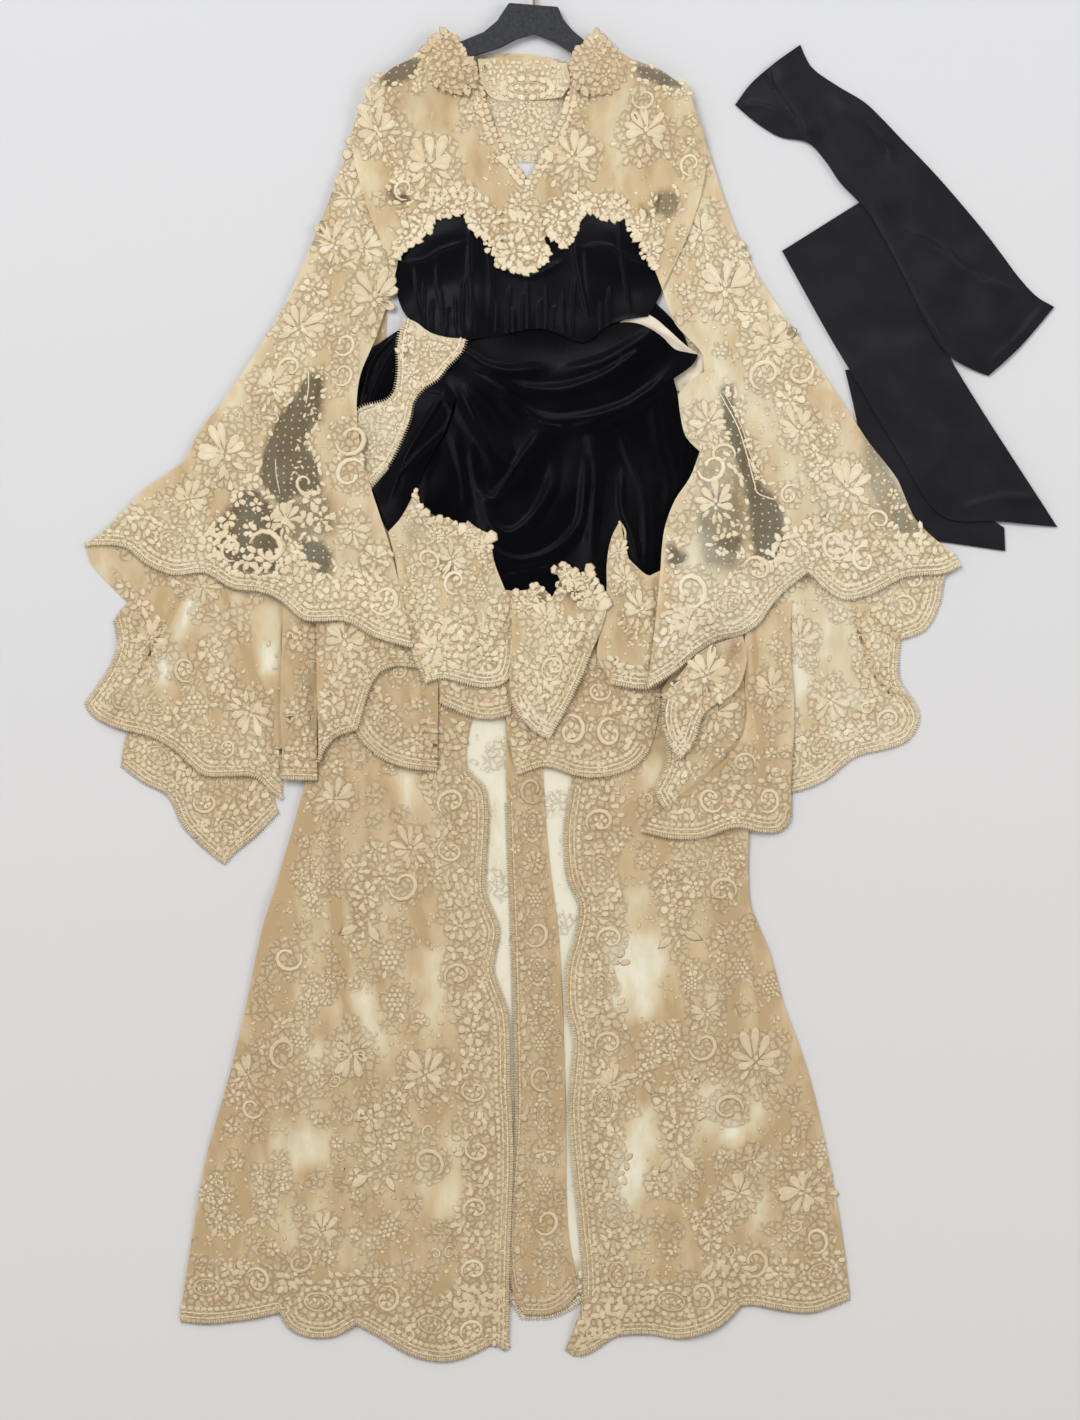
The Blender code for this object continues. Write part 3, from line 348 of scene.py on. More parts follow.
def crease_rows(points, creases, spacing):
    """The field of points with rows along each crease in place of those near it."""
    rows = [points]
    for run, left, right, _ in creases:
        line = eased_line(on_grid(run), spacing)
        way = unit(np.gradient(line, axis=0))
        side = np.column_stack([-way[:, 1], way[:, 0]])
        gap, _, on_left = from_line(rows[0], line)
        rows[0] = rows[0][gap > np.where(on_left, left, right) / 1000 + spacing * 0.4]
        for share in (-1.0, -0.5, 0.0, 0.5, 1.0):
            rows.append(line + side * share * (left if share > 0 else right) / 1000)
    return np.vstack(rows)


def nudged(ring, moves):
    """A ring with parts of it drawn over: each move is (from, to, reach) in squares."""
    ring = ring.copy()
    for start, goal, reach in moves:
        start, goal = on_grid([start, goal])
        share = np.clip(1 - np.hypot(*(ring - start).T) / (reach * SQUARE), 0, 1)[:, None]
        ring += (goal - start) * share * share * (3 - 2 * share)
    return ring


def staggered(low, high, gap, rise):
    """Points in even rows, every other row half a gap further on."""
    rows = []
    for k, y in enumerate(np.arange(low[1], high[1], rise)):
        x = np.arange(low[0] + gap / 2 * (k % 2), high[0], gap)
        rows.append(np.column_stack([x, np.full(len(x), y)]))
    return np.vstack(rows)


def filled_rings(rings, extra):
    """Triangles that fill an outline, facing up, without its holes."""
    points, edges = [], []
    for ring in rings:
        first = len(points)
        edges += [(first + k, first + (k + 1) % len(ring)) for k in range(len(ring))]
        points += [Vector(point) for point in ring]
    points += [Vector(point) for point in extra]
    flat, _, faces, _, _, _ = delaunay_2d_cdt(points, edges, [], 1, 1e-7)
    flat = np.array([tuple(point) for point in flat])
    faces = np.array([face for face in faces if len(face) == 3])
    centres = flat[faces].mean(1)
    keep = inside(centres, rings[0])
    for ring in rings[1:]:
        keep &= ~inside(centres, ring)
    faces = faces[keep]
    a, b, c = (flat[faces[:, k]] for k in range(3))
    turned = (b[:, 0] - a[:, 0]) * (c[:, 1] - a[:, 1]) - (b[:, 1] - a[:, 1]) * (c[:, 0] - a[:, 0]) < 0
    faces[turned] = faces[turned][:, ::-1]
    used, faces = np.unique(faces, return_inverse=True)
    return flat[used], faces.reshape(-1, 3)


def cut_size(ring, take_up):
    """Width and length of the smallest rectangle a piece is cut from, before it was laid."""
    boxes = []
    for turn in np.radians(range(0, 90, 3)):
        spun = ring @ np.array([[math.cos(turn), -math.sin(turn)], [math.sin(turn), math.cos(turn)]])
        boxes.append(sorted(np.ptp(spun, axis=0)))
    return [float(side) * take_up for side in min(boxes, key=math.prod)]


def uneven(cells, size, high, seed):
    """Slow unevenness of laid cloth: a few crossing waves of one size."""
    draw = np.random.default_rng(seed)
    field = np.zeros(len(cells))
    for _ in range(7):
        turn, phase = draw.uniform(0, math.pi), draw.uniform(0, math.tau)
        wave = math.tau / (size * draw.uniform(0.7, 1.5))
        field += np.sin((cells[:, 0] * math.cos(turn) + cells[:, 1] * math.sin(turn)) * wave + phase)
    return field / 7 * high


def walled(name, flat, height, triangles, wall):
    """A closed sheet: its upper face, its under face a wall lower, and a sharp rim between."""
    count = len(flat)
    sides = np.vstack([triangles[:, [0, 1]], triangles[:, [1, 2]], triangles[:, [2, 0]]])
    rim = sides[~np.isin(sides[:, 0] * count + sides[:, 1], sides[:, 1] * count + sides[:, 0])]
    points = np.vstack([np.column_stack([flat, height]), np.column_stack([flat, height - wall])])
    faces = triangles.tolist() + (triangles[:, ::-1] + count).tolist()
    faces += np.column_stack([rim[:, 1], rim[:, 0], rim[:, 0] + count, rim[:, 1] + count]).tolist()
    mesh = bpy.data.meshes.new(name)
    mesh.from_pydata(points.tolist(), [], faces)
    mesh.shade_smooth()
    ends = np.zeros(len(mesh.edges) * 2, int)
    mesh.edges.foreach_get("vertices", ends)
    ends, rim = (np.sort(pairs, axis=1) for pairs in (ends.reshape(-1, 2), np.vstack([rim, rim + count])))
    sharp = np.isin(ends[:, 0] * 2 * count + ends[:, 1], rim[:, 0] * 2 * count + rim[:, 1])
    mesh.attributes.new("sharp_edge", "BOOLEAN", "EDGE").data.foreach_set("value", sharp)
    return mesh


def lay_cloth(node, material, spacing, wall, creases=(), drop=0.0, soften=2.6, waves=(0.04, 0.0006),
              moves=()):
    """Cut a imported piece's sheet again as fine cloth and lay it on what is there."""
    rings, points, faces = cut_of(node)
    rings.sort(key=lambda ring: -abs(ring_area(ring)))
    rings = [ring if ring_area(ring) > 0 else ring[::-1] for ring in rings]
    outline, *holes = [eased_ring(ring, spacing) for ring in (nudged(rings[0], moves), *rings[1:])]
    place, cells, shape, origin = window_of(points)
    top = height_map(points, faces, shape, origin)
    mask = ~np.isnan(top)
    level = blurred(top, mask, soften) - drop
    level += uneven(cells, *waves, seed=len(laid_names)).reshape(shape) + waves[1] * 0.5
    bearing = highest_near(pile[place], 1) + wall + CLEARANCE
    near = highest_near(mask.astype(float), 3) > 0.5
    level = np.maximum(level, np.where(near, bearing, 0))
    for _ in range(4):
        level = np.maximum(blurred(level, near, 0.9), np.where(near, bearing, 0))
    extra = staggered(outline.min(0), outline.max(0), spacing, spacing * math.sqrt(3) / 2)
    extra = extra[inside(extra, outline)]
    extra = extra[from_line(extra, outline, closed=True)[0] > spacing * 0.5]
    if creases:
        extra = crease_rows(extra, creases, spacing)
        extra = extra[inside(extra, outline)]
        extra = extra[from_line(extra, outline, closed=True)[0] > spacing * 0.35]
    for hole in holes:
        extra = extra[~inside(extra, hole) & (from_line(extra, hole, closed=True)[0] > spacing * 0.4)]
    flat, triangles = filled_rings([outline, *holes], extra)
    height = sampled(level, flat, origin) + crease_field(flat, creases)
    height = np.maximum(height, sampled(bearing, flat, origin))
    level = np.maximum(level + crease_field(cells, creases).reshape(shape), bearing)
    mesh = walled(node + "_cloth", flat, height, triangles, wall)
    mesh.materials.append(material)
    owners, counts = np.unique(pile_owner[place][mask], return_counts=True)
    rests_on = [laid_names[k] for k, n in zip(owners, counts) if k >= 0 and n > CELLS_TO_REST] or ["board"]
    pile[place][mask] = np.maximum(pile[place][mask], level[mask])
    pile_owner[place][mask] = len(laid_names)
    laid_names.append(node + "_cloth")
    a, b, c = (np.column_stack([flat, height])[triangles[:, k]] for k in range(3))
    area = float(np.linalg.norm(np.cross(b - a, c - a), axis=1).sum() / 2)
    flat_area = abs(ring_area(outline)) - sum(abs(ring_area(hole)) for hole in holes)
    return SimpleNamespace(node=node, piece=placed(node + "_cloth", mesh), outline=outline, holes=holes,
                           level=level, origin=origin, rests_on=rests_on, area=area,
                           cut=cut_size(outline, max(1.0, math.sqrt(area / flat_area))))


def hand_over(laid, trims=()):
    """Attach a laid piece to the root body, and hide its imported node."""
    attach(laid.piece, "root")
    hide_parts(laid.node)


def grain_of(tree, place, scale, detail):
    """The unevenness of a surface, from 0 to 1."""
    return node_of(tree, "ShaderNodeTexNoise", Vector=place, Scale=scale, Detail=detail).outputs["Fac"]


def finish_with(tree, shader, colour, relief, strength, distance):
    """Give a shader its colour and its fine relief."""
    feed(tree, colour, shader.inputs["Base Color"])
    bump = node_of(tree, "ShaderNodeBump", Height=relief, Strength=strength, Distance=distance)
    feed(tree, bump.outputs["Normal"], shader.inputs["Normal"])


def satin_finish(name, colour, roughness, gleam):
    """Silk satin: near black, a tight warp-faced weave, a soft gleam and slight unevenness."""
    material, tree, shader, place = new_material(name, Roughness=roughness, Specular_IOR_Level=gleam)
    slow = grain_of(tree, place, 24.0, 2.0)
    weave = node_of(tree, "ShaderNodeTexWave", Vector=place, Scale=900.0, Distortion=0.6).outputs["Fac"]
    lighter = tuple(min(1.0, c * 1.5) for c in colour)
    finish_with(tree, shader, ramp_of(tree, slow, [(0.35, colour), (0.7, lighter)]), weave, 0.05, 0.0002)
    rough = node_of(tree, "ShaderNodeMapRange", Value=slow, To_Min=roughness - 0.03, To_Max=roughness + 0.04)
    feed(tree, rough.outputs[0], shader.inputs["Roughness"])
    return material


SATIN_WALL = 0.0006
SASH_WALL = 0.0016                  # the sash is doubled and pressed


def satin_piece(node, material, spacing, creases=(), wall=SATIN_WALL, waves=(0.06, 0.0003),
                soften=2.6, cord=None, moves=()):
    """Lay a satin piece, with a fine cord sewn along its edge where it has one."""
    laid = lay_cloth(node, material, spacing, wall, creases, waves=waves, soften=soften, moves=moves)
    trims = []
    if cord:
        layout = Layout(laid, 0.4, 3, [])
        layout.thread(cord, 2.4, 0.1)
        trims.append(sew_on(laid, layout.kept_rows(), node + "_cord"))
    hand_over(laid, trims)


SASH_BLACK = satin_finish("sash_satin", (0.0088, 0.008, 0.0105), 0.42, 0.3)
satin_piece("sash_under_end", SASH_BLACK, 0.006, wall=SASH_WALL, waves=(0.12, 0.0003), moves=[
    ((1000, 505), (972, 507), 16)])
satin_piece("sash_lower", SASH_BLACK, 0.005, wall=SASH_WALL, waves=(0.12, 0.0004), creases=[
    ([(790, 262), (835, 330), (875, 395), (935, 505)], 8, 12, 1.2),
    ([(870, 330), (925, 420), (990, 500)], 16, 16, 1.8),
    ([(960, 510), (1000, 498), (1040, 500)], 7, 9, 1.4)], moves=[
    ((855, 201), (868, 197), 30), ((884, 243), (900, 240), 45)])
satin_piece("sash_upper", SASH_BLACK, 0.004, wall=SASH_WALL, waves=(0.1, 0.0004), creases=[
    ([(771, 68), (776, 88), (796, 118), (812, 146)], 24, 2.2, 3.2),
    ([(744, 104), (768, 108), (790, 124)], 5, 4, 2.0),
    ([(838, 98), (862, 118), (880, 134), (892, 148)], 2.4, 16, 2.8),
    ([(884, 138), (888, 150), (892, 160)], 3, 3, 1.6),
    ([(815, 110), (850, 165), (900, 225)], 12, 12, 1.6),
    ([(905, 225), (940, 246), (975, 275), (1020, 290)], 2.4, 14, 2.6),
    ([(900, 170), (950, 235), (1010, 290)], 14, 10, 1.6),
    ([(870, 205), (905, 275), (946, 345)], 12, 3, 1.8),
    ([(769, 80), (788, 104), (806, 133)], 5, 5, -2.6),
    ([(846, 104), (864, 122), (888, 150)], 3, 3, -1.6),
    ([(916, 235), (945, 251), (976, 274)], 4, 4, -1.8),
    ([(1046, 306), (1018, 340), (988, 366)], 5, 9, 1.8)])

# Flat backs: the satin back of the bodice, the lace back of the yoke with its keyhole, and the
# lace backs of the long skirt and the sleeves. Lace is a fine silk net with corded cotton
# motifs sewn on it.
NET_SPACING = 0.0075
NET_WALL = 0.0003
NET_DROP = 0.0009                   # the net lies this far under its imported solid's top
PETAL, LEAF, PEBBLE, DOT, CORD, CURL, CURL_BACK, RING, LASH, SMALL = range(10)
motif_box = bpy.data.collections.new("lace_motifs")


def note(mesh, name, values, kind="FLOAT"):
    """Write a value at each point of a mesh."""
    field = "vector" if kind == "FLOAT_VECTOR" else "value"
    mesh.attributes.new(name, kind, "POINT").data.foreach_set(field, values)


def motif(number, name, points, faces):
    """A small raised motif from points (x, y, height, rim), with its faces turned outward."""
    mesh = bpy.data.meshes.new(name)
    mesh.from_pydata([point[:3] for point in points], [], faces)
    note(mesh, "rim", [point[3] for point in points])
    shape = bmesh.new()
    shape.from_mesh(mesh)
    bmesh.ops.recalc_face_normals(shape, faces=shape.faces)
    shape.to_mesh(mesh)
    shape.free()
    motif_box.objects.link(bpy.data.objects.new(f"motif_{number}_{name}", mesh))


def joined(start, other, count):
    """Faces between two rows of a motif's points, each of so many."""
    return [(start + k, start + (k + 1) % count, other + (k + 1) % count, other + k) for k in range(count)]


def mirrored(half):
    return [*half, *[(x, -y) for x, y in half[-2:0:-1]]]


def circle(count, wobble=0.0):
    return [(0.5 * math.cos(math.tau * k / count) * (1 - wobble + wobble * (k % 2)),
             0.5 * math.sin(math.tau * k / count)) for k in range(count)]


# The rim value of each row sets how much painted shade the thread gets there: most at a motif's foot, least
# on its crown.
for number, name, line, foot_shade, rows, crown in (
        (PETAL, "petal", mirrored([(-0.5, 0.0), (-0.22, -0.26), (0.12, -0.48), (0.4, -0.36), (0.5, 0.0)]),
         1.0, [(0.84, 1.0, 0.3, 0.03), (0.56, 0.82, 0.6, 0.06)], (0.06, 0, 1.0, 0.0)),
        (SMALL, "small", mirrored([(-0.5, 0.0), (-0.08, -0.38), (0.34, -0.42), (0.5, 0.0)]), 1.0,
         [(0.7, 0.95, 0.3, 0.05)], (0.08, 0, 0.9, 0.05)),
        (LEAF, "leaf", mirrored([(-0.5, 0.0), (-0.2, -0.42), (0.18, -0.4), (0.5, 0.0)]), 1.0,
         [(0.7, 1.0, 0.3, 0.0)], (0, 0, 0.8, 0.5)),
        (PEBBLE, "pebble", circle(6, 0.08), 1.0, [(0.68, 0.88, 0.25, 0.0)], (0, 0, 0.86, 0.0)),
        (DOT, "dot", circle(5), 0.9, [(0.55, 0.9, 0.1, 0.0)], (0, 0, 1.0, 0)),
        (CORD, "cord", mirrored([(-0.5, 0.0), (-0.36, -0.5), (0.36, -0.5), (0.5, 0.0)]), 1.0,
         [(0.62, 0.95, 0.15, 0.0)], (0, 0, 1.0, 0.0)),
        (LASH, "lash", [(-0.5, -0.5), (0.5, -0.15), (0.5, 0.15), (-0.5, 0.5)], 0.5, [],
         (-0.2, 0, 1.0, 0.0))):
    count = len(line)
    points = [(x, y, 0.0, foot_shade) for x, y in line]
    faces = []
    for share, height, rim, shift in rows:
        faces += joined(len(points) - count, len(points), count)
        points += [(shift + (x - shift) * share, y * share, height, rim) for x, y in line]
    last = len(points) - count
    faces += [(last + k, last + (k + 1) % count, last + count) for k in range(count)]
    motif(number, name, points + [crown], faces + [tuple(reversed(range(count)))])

curl_turns = np.linspace(0, 1, 12)
for number, side in ((CURL, 1), (CURL_BACK, -1)):
    line = np.array([(math.cos(math.radians(-50 + 350 * t)) * (0.47 - 0.3 * t) * -1 + 0.02,
                      math.sin(math.radians(-50 + 350 * t)) * (0.4 - 0.22 * t) * side) for t in curl_turns])
    way = unit(np.gradient(line, axis=0))
    points, faces = [], []
    for point, (x, y), t in zip(line, way, curl_turns):
        width = 0.06 + 0.1 * math.sin(math.pi * min(1, t * 1.15)) ** 0.8 + 0.09 * (t > 0.9)
        # rim: painted shade at the curl's two feet, little on its top
        for offset, height, rim in ((1, 0, 1), (0.45, 1, 0.1), (-0.45, 1, 0.1), (-1, 0, 1)):
            spot = point + np.array((-y, x)) * offset * width / 2
            points.append((*spot, height * (0.4 if t in (0, 1) else 1), rim))
    for k in range(0, len(points) - 4, 4):
        faces += joined(k, k + 4, 4)
    motif(number, "curl", points, faces + [(3, 2, 1, 0), tuple(range(len(points) - 4, len(points)))])
# rim: painted shade at the ring's feet, little on its crest
motif(RING, "ring", [(x * share, y * share, height, rim) for share, height, rim in (
    (1.0, 0.0, 0.9), (0.9, 1.0, 0.15), (0.8, 0.0, 0.9)) for x, y in circle(16)],
      [*joined(0, 16, 16), *joined(16, 32, 16), *joined(32, 0, 16)])


def applique_tree():
    """Nodes that set each motif on its place, let it follow the cloth, and give it its thread."""
    tree = bpy.data.node_groups.new("applique", "GeometryNodeTree")
    face = tree.interface
    face.new_socket("Places", in_out="INPUT", socket_type="NodeSocketGeometry")
    sockets = {name: face.new_socket(name, in_out="INPUT", socket_type="NodeSocket" + kind).identifier
               for name, kind in (("Motifs", "Collection"), ("Cloth", "Object"), ("Thread", "Material"),
                                  ("Ray Start", "Float"))}
    face.new_socket("Applique", in_out="OUTPUT", socket_type="NodeSocketGeometry")

    def step(kind, out=0, **values):
        return node_of(tree, kind, **values).outputs[out]

    def named(name, kind="FLOAT"):
        return step("GeometryNodeInputNamedAttribute", "Attribute", data_type=kind, Name=name)

    enter = node_of(tree, "NodeGroupInput").outputs
    motifs = step("GeometryNodeCollectionInfo", Collection=enter["Motifs"], Separate_Children=True,
                  Reset_Children=True)
    scatter = step("GeometryNodeInstanceOnPoints", Points=enter["Places"], Instance=motifs,
                   Pick_Instance=True, Instance_Index=named("kind", "INT"),
                   Rotation=step("ShaderNodeCombineXYZ", Z=named("turn")),
                   Scale=named("size", "FLOAT_VECTOR"))
    real = step("GeometryNodeRealizeInstances", Geometry=scatter)
    spot = node_of(tree, "ShaderNodeSeparateXYZ", Vector=step("GeometryNodeInputPosition")).outputs
    above = step("ShaderNodeCombineXYZ", X=spot["X"], Y=spot["Y"], Z=enter["Ray Start"])
    cloth = step("GeometryNodeObjectInfo", "Geometry", Object=enter["Cloth"])
    cast = node_of(tree, "GeometryNodeRaycast", Target_Geometry=cloth, Source_Position=above,
                   Ray_Direction=(0, 0, -1), Ray_Length=1.0).outputs
    found = step("ShaderNodeSeparateXYZ", "Z", Vector=cast["Hit Position"])
    level = step("GeometryNodeSwitch", input_type="FLOAT", Switch=cast["Is Hit"],
                 **{"False": named("level"), "True": found})
    final = step("ShaderNodeCombineXYZ", X=spot["X"], Y=spot["Y"], Z=math_of(tree, "ADD", level, spot["Z"]))
    moved = step("GeometryNodeSetPosition", Geometry=real, Position=final)
    sewn = step("GeometryNodeSetMaterial", Geometry=moved, Material=enter["Thread"])
    node_of(tree, "NodeGroupOutput", Applique=sewn)
    return tree, sockets


def math_of(tree, operation, *values, clamp=False):
    """Sockets and numbers put through one operation."""
    node = node_of(tree, "ShaderNodeMath", operation=operation, use_clamp=clamp)
    for value, socket in zip(values, node.inputs):
        feed(tree, value, socket)
    return node.outputs[0]


APPLIQUE, APPLIQUE_SOCKETS = applique_tree()


def sew_on(laid, rows, name):
    """Sew rows of (kind, across, down, long, wide, turn, high, tone) on a laid piece."""
    spots = on_grid(rows[:, 1:3])
    level = sampled(laid.level, spots, laid.origin)
    turn = np.radians(rows[:, 5])
    size = np.column_stack([rows[:, 3:5] * SQUARE, rows[:, 6] / 1000])
    mesh = bpy.data.meshes.new(name + "_places")
    mesh.from_pydata([(x, y, 0.0) for x, y in spots], [], [])
    note(mesh, "turn", turn)
    note(mesh, "kind", rows[:, 0].astype(int), "INT")
    note(mesh, "size", size.ravel(), "FLOAT_VECTOR")
    note(mesh, "tone", rows[:, 7])
    note(mesh, "level", level)
    holder = placed(name + "_places", mesh)
    nodes = holder.modifiers.new("applique", "NODES")
    nodes.node_group = APPLIQUE
    for socket, value in (("Motifs", motif_box), ("Cloth", laid.piece), ("Thread", COTTON),
                          ("Ray Start", 0.5)):
        nodes[APPLIQUE_SOCKETS[socket]] = value
    graph = bpy.context.evaluated_depsgraph_get()
    sewn = bpy.data.meshes.new_from_object(holder.evaluated_get(graph), preserve_all_data_layers=True,
                                           depsgraph=graph)
    bpy.data.objects.remove(holder)
    for spare in ("turn", "kind", "size", "level"):
        if spare in sewn.attributes:
            sewn.attributes.remove(sewn.attributes[spare])
    sewn.name = name
    sewn.shade_smooth()
    trim = placed(name, sewn)
    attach(trim, "root")
    for along, aside in ((0, 0), (0.38, 0), (-0.38, 0), (0, 0.35), (0, -0.35)):
        reach, over = along * size[:, 0], aside * size[:, 1]
        x = spots[:, 0] + (np.cos(turn) * reach - np.sin(turn) * over)
        y = spots[:, 1] + (np.sin(turn) * reach + np.cos(turn) * over)
        column, row = to_cells(np.column_stack([x, y])).astype(int).T
        np.maximum.at(pile, (row, column), level + size[:, 2])
    return trim


def blend_of(tree, factor, one, two, blend="MIX"):
    """One colour blended over another by a factor."""
    node = node_of(tree, "ShaderNodeMix", data_type="RGBA", blend_type=blend, Factor=factor)
    for value, socket in ((one, node.inputs[6]), (two, node.inputs[7])):
        feed(tree, value, socket)
    return node.outputs[2]


COTTON_TONES = [(0.0, (0.62, 0.475, 0.295)), (0.5, (0.82, 0.68, 0.46)), (1.0, (0.95, 0.87, 0.67))]


def net_finish():
    """Silk net: a fine mesh with woven dots, tan where doubled, seeded work where corded, and painted shade
    in the crevices between the seeds.
    """
    material, tree, shader, place = new_material("silk_net", Roughness=0.9, Specular_IOR_Level=0.1)
    lining, opened, worked, tone = (node_of(tree, "ShaderNodeAttribute", attribute_name=name).outputs["Fac"]
                                    for name in ("lining", "open", "worked", "tone"))

    def scaled(source, factor, offset, clamp=False):
        return math_of(tree, "MULTIPLY_ADD", source, factor, offset, clamp=clamp)

    def noise(where, **values):
        return node_of(tree, "ShaderNodeTexNoise", Vector=where, **values).outputs

    def cells(where, **values):
        return node_of(tree, "ShaderNodeTexVoronoi", voronoi_dimensions="2D", Vector=where, **values)

    def ranged(source, start, end, low, high):
        return node_of(tree, "ShaderNodeMapRange", Value=source.outputs["Distance"], From_Min=start,
                       From_Max=end, To_Min=low, To_Max=high).outputs[0]

    hang = node_of(tree, "ShaderNodeMapping", Vector=place, Scale=(1.0, 0.42, 1.0)).outputs[0]
    cloudy = noise(hang, Scale=30.0, Detail=4.0, Roughness=0.6)["Fac"]
    amount = math_of(tree, "ADD", lining, scaled(cloudy, 1.7, -0.87))
    colour = ramp_of(tree, amount, [(0.0, (1.0, 0.945, 0.76)), (0.3, (0.96, 0.867, 0.62)),
                                    (0.6, (0.85, 0.69, 0.44)), (0.85, (0.73, 0.55, 0.325)),
                                    (1.0, (0.62, 0.45, 0.25))])
    cover = ramp_of(tree, amount, [(0.0, (0.8,) * 3), (0.3, (0.66,) * 3), (0.7, (0.7,) * 3),
                                   (1.0, (0.82,) * 3)])
    mesh = cells(place, feature="DISTANCE_TO_EDGE", Scale=560.0)
    net = blend_of(tree, scaled(opened, 1.0, 0.0, True), cover, ranged(mesh, 0.04, 0.2, 0.2, 0.07))
    spots = cells(place, Scale=112.0, Randomness=0.45)
    net = math_of(tree, "MAXIMUM", net, ranged(spots, 0.1, 0.17, 0.55, 0.0))
    wander = noise(place, Scale=120.0, Detail=1.0)["Color"]
    shift = node_of(tree, "ShaderNodeVectorMath", operation="MULTIPLY_ADD")
    for value, socket in zip((wander, (0.006, 0.006, 0.0), place), shift.inputs):
        feed(tree, value, socket)
    seeds = cells(shift.outputs[0], feature="DISTANCE_TO_EDGE", Scale=118.0)
    seed = scaled(seeds.outputs["Distance"], 6.5, -0.5, True)
    gather = grain_of(tree, place, 48.0, 2.0)
    patchy = scaled(math_of(tree, "ADD", worked, scaled(gather, 1.6, -1.2)), 7.0, 0.0, True)
    body = math_of(tree, "MULTIPLY", seed, patchy)
    cotton = blend_of(tree, scaled(body, 0.62, 0.0), colour, ramp_of(tree, tone, COTTON_TONES))
    # painted shade: the net darkens to brown in the crevices between the painted seeds of worked areas
    seed_crevice_shade = math_of(tree, "MULTIPLY", patchy, scaled(seed, -0.36, 0.36))
    feed(tree, blend_of(tree, seed_crevice_shade, cotton, (0.33, 0.23, 0.13, 1.0)), shader.inputs["Base Color"])
    feed(tree, math_of(tree, "MAXIMUM", net, scaled(body, 0.8, 0.0)), shader.inputs["Alpha"])
    weave = node_of(tree, "ShaderNodeBump", Height=mesh.outputs["Distance"], Strength=0.25, Distance=0.0003)
    relief = node_of(tree, "ShaderNodeBump", Height=body, Strength=0.6, Distance=0.0007,
                     Normal=weave.outputs["Normal"])
    feed(tree, relief.outputs["Normal"], shader.inputs["Normal"])
    return material


def thread_finish():
    """Corded cotton: matt twisted thread, with painted shade round the foot of each motif that also draws
    its darker outline.
    """
    material, tree, shader, place = new_material("corded_cotton", Roughness=0.85, Specular_IOR_Level=0.15,
                                                 Sheen_Weight=0.1, Sheen_Roughness=0.5)
    tone, rim = (node_of(tree, "ShaderNodeAttribute", attribute_name=name).outputs["Fac"]
                 for name in ("tone", "rim"))
    dyed, twist = grain_of(tree, place, 45.0, 3.0), grain_of(tree, place, 1100.0, 2.0)
    amount = math_of(tree, "ADD", tone, math_of(tree, "MULTIPLY_ADD", dyed, 0.5, -0.26))
    # painted shade: the thread darkens towards each motif's foot, where it meets the net, which also gives
    # the motif its darker outline
    foot = ramp_of(tree, rim, [(0.0, (1.0,) * 3), (0.45, (0.93, 0.915, 0.89)), (1.0, (0.77, 0.72, 0.65))])
    colour = blend_of(tree, 1.0, ramp_of(tree, amount, COTTON_TONES), foot, "MULTIPLY")
    finish_with(tree, shader, colour, twist, 0.3, 0.0003)
    return material


SILK_NET = net_finish()
COTTON = thread_finish()


def beside(across, down, turn, along, aside=0.0):
    """The place so far along a turn from another, and so far to the side of that way."""
    way = np.radians(turn)
    return (across + along * np.cos(way) - aside * np.sin(way),
            down - along * np.sin(way) - aside * np.cos(way))


def to_squares(points):
    return points / (SQUARE, -SQUARE) + CENTRE


def closed(ring):
    return np.vstack([ring, ring[:1]])


def line_ways(line, shares):
    """The way of a line in degrees at shares of its length."""
    length = np.concatenate([[0], np.cumsum(np.hypot(*np.diff(line, axis=0).T))])
    reach = 4.0 / max(length[-1], 4.0)
    ahead, behind = (np.column_stack([np.interp(at, length, line[:, k]) for k in (0, 1)])
                     for at in (np.clip(shares + side * reach, 0, 1) * length[-1] for side in (1, -1)))
    return np.degrees(np.arctan2(behind[:, 1] - ahead[:, 1], ahead[:, 0] - behind[:, 0]))


def steps_along(line, step):
    """Points a step apart along a line, with its way there in degrees."""
    length = np.concatenate([[0], np.cumsum(np.hypot(*np.diff(line, axis=0).T))])
    at = np.arange(step / 2, length[-1], step)
    points = np.column_stack([np.interp(at, length, line[:, k]) for k in (0, 1)])
    return points, line_ways(line, at / max(length[-1], 1e-9))


TONE_SPREAD = 0.08
MOTIF_RISE = 0.54                   # millimetres that a motif of full height rises
HIGHEST = 1.2
LONG_MOTIF = 14                     # squares; longer motifs rise in proportion
PALE = 0.7                          # places with less lining than this stay without work
GROOVE = 0.35                       # share of a groove's depth that the net itself takes


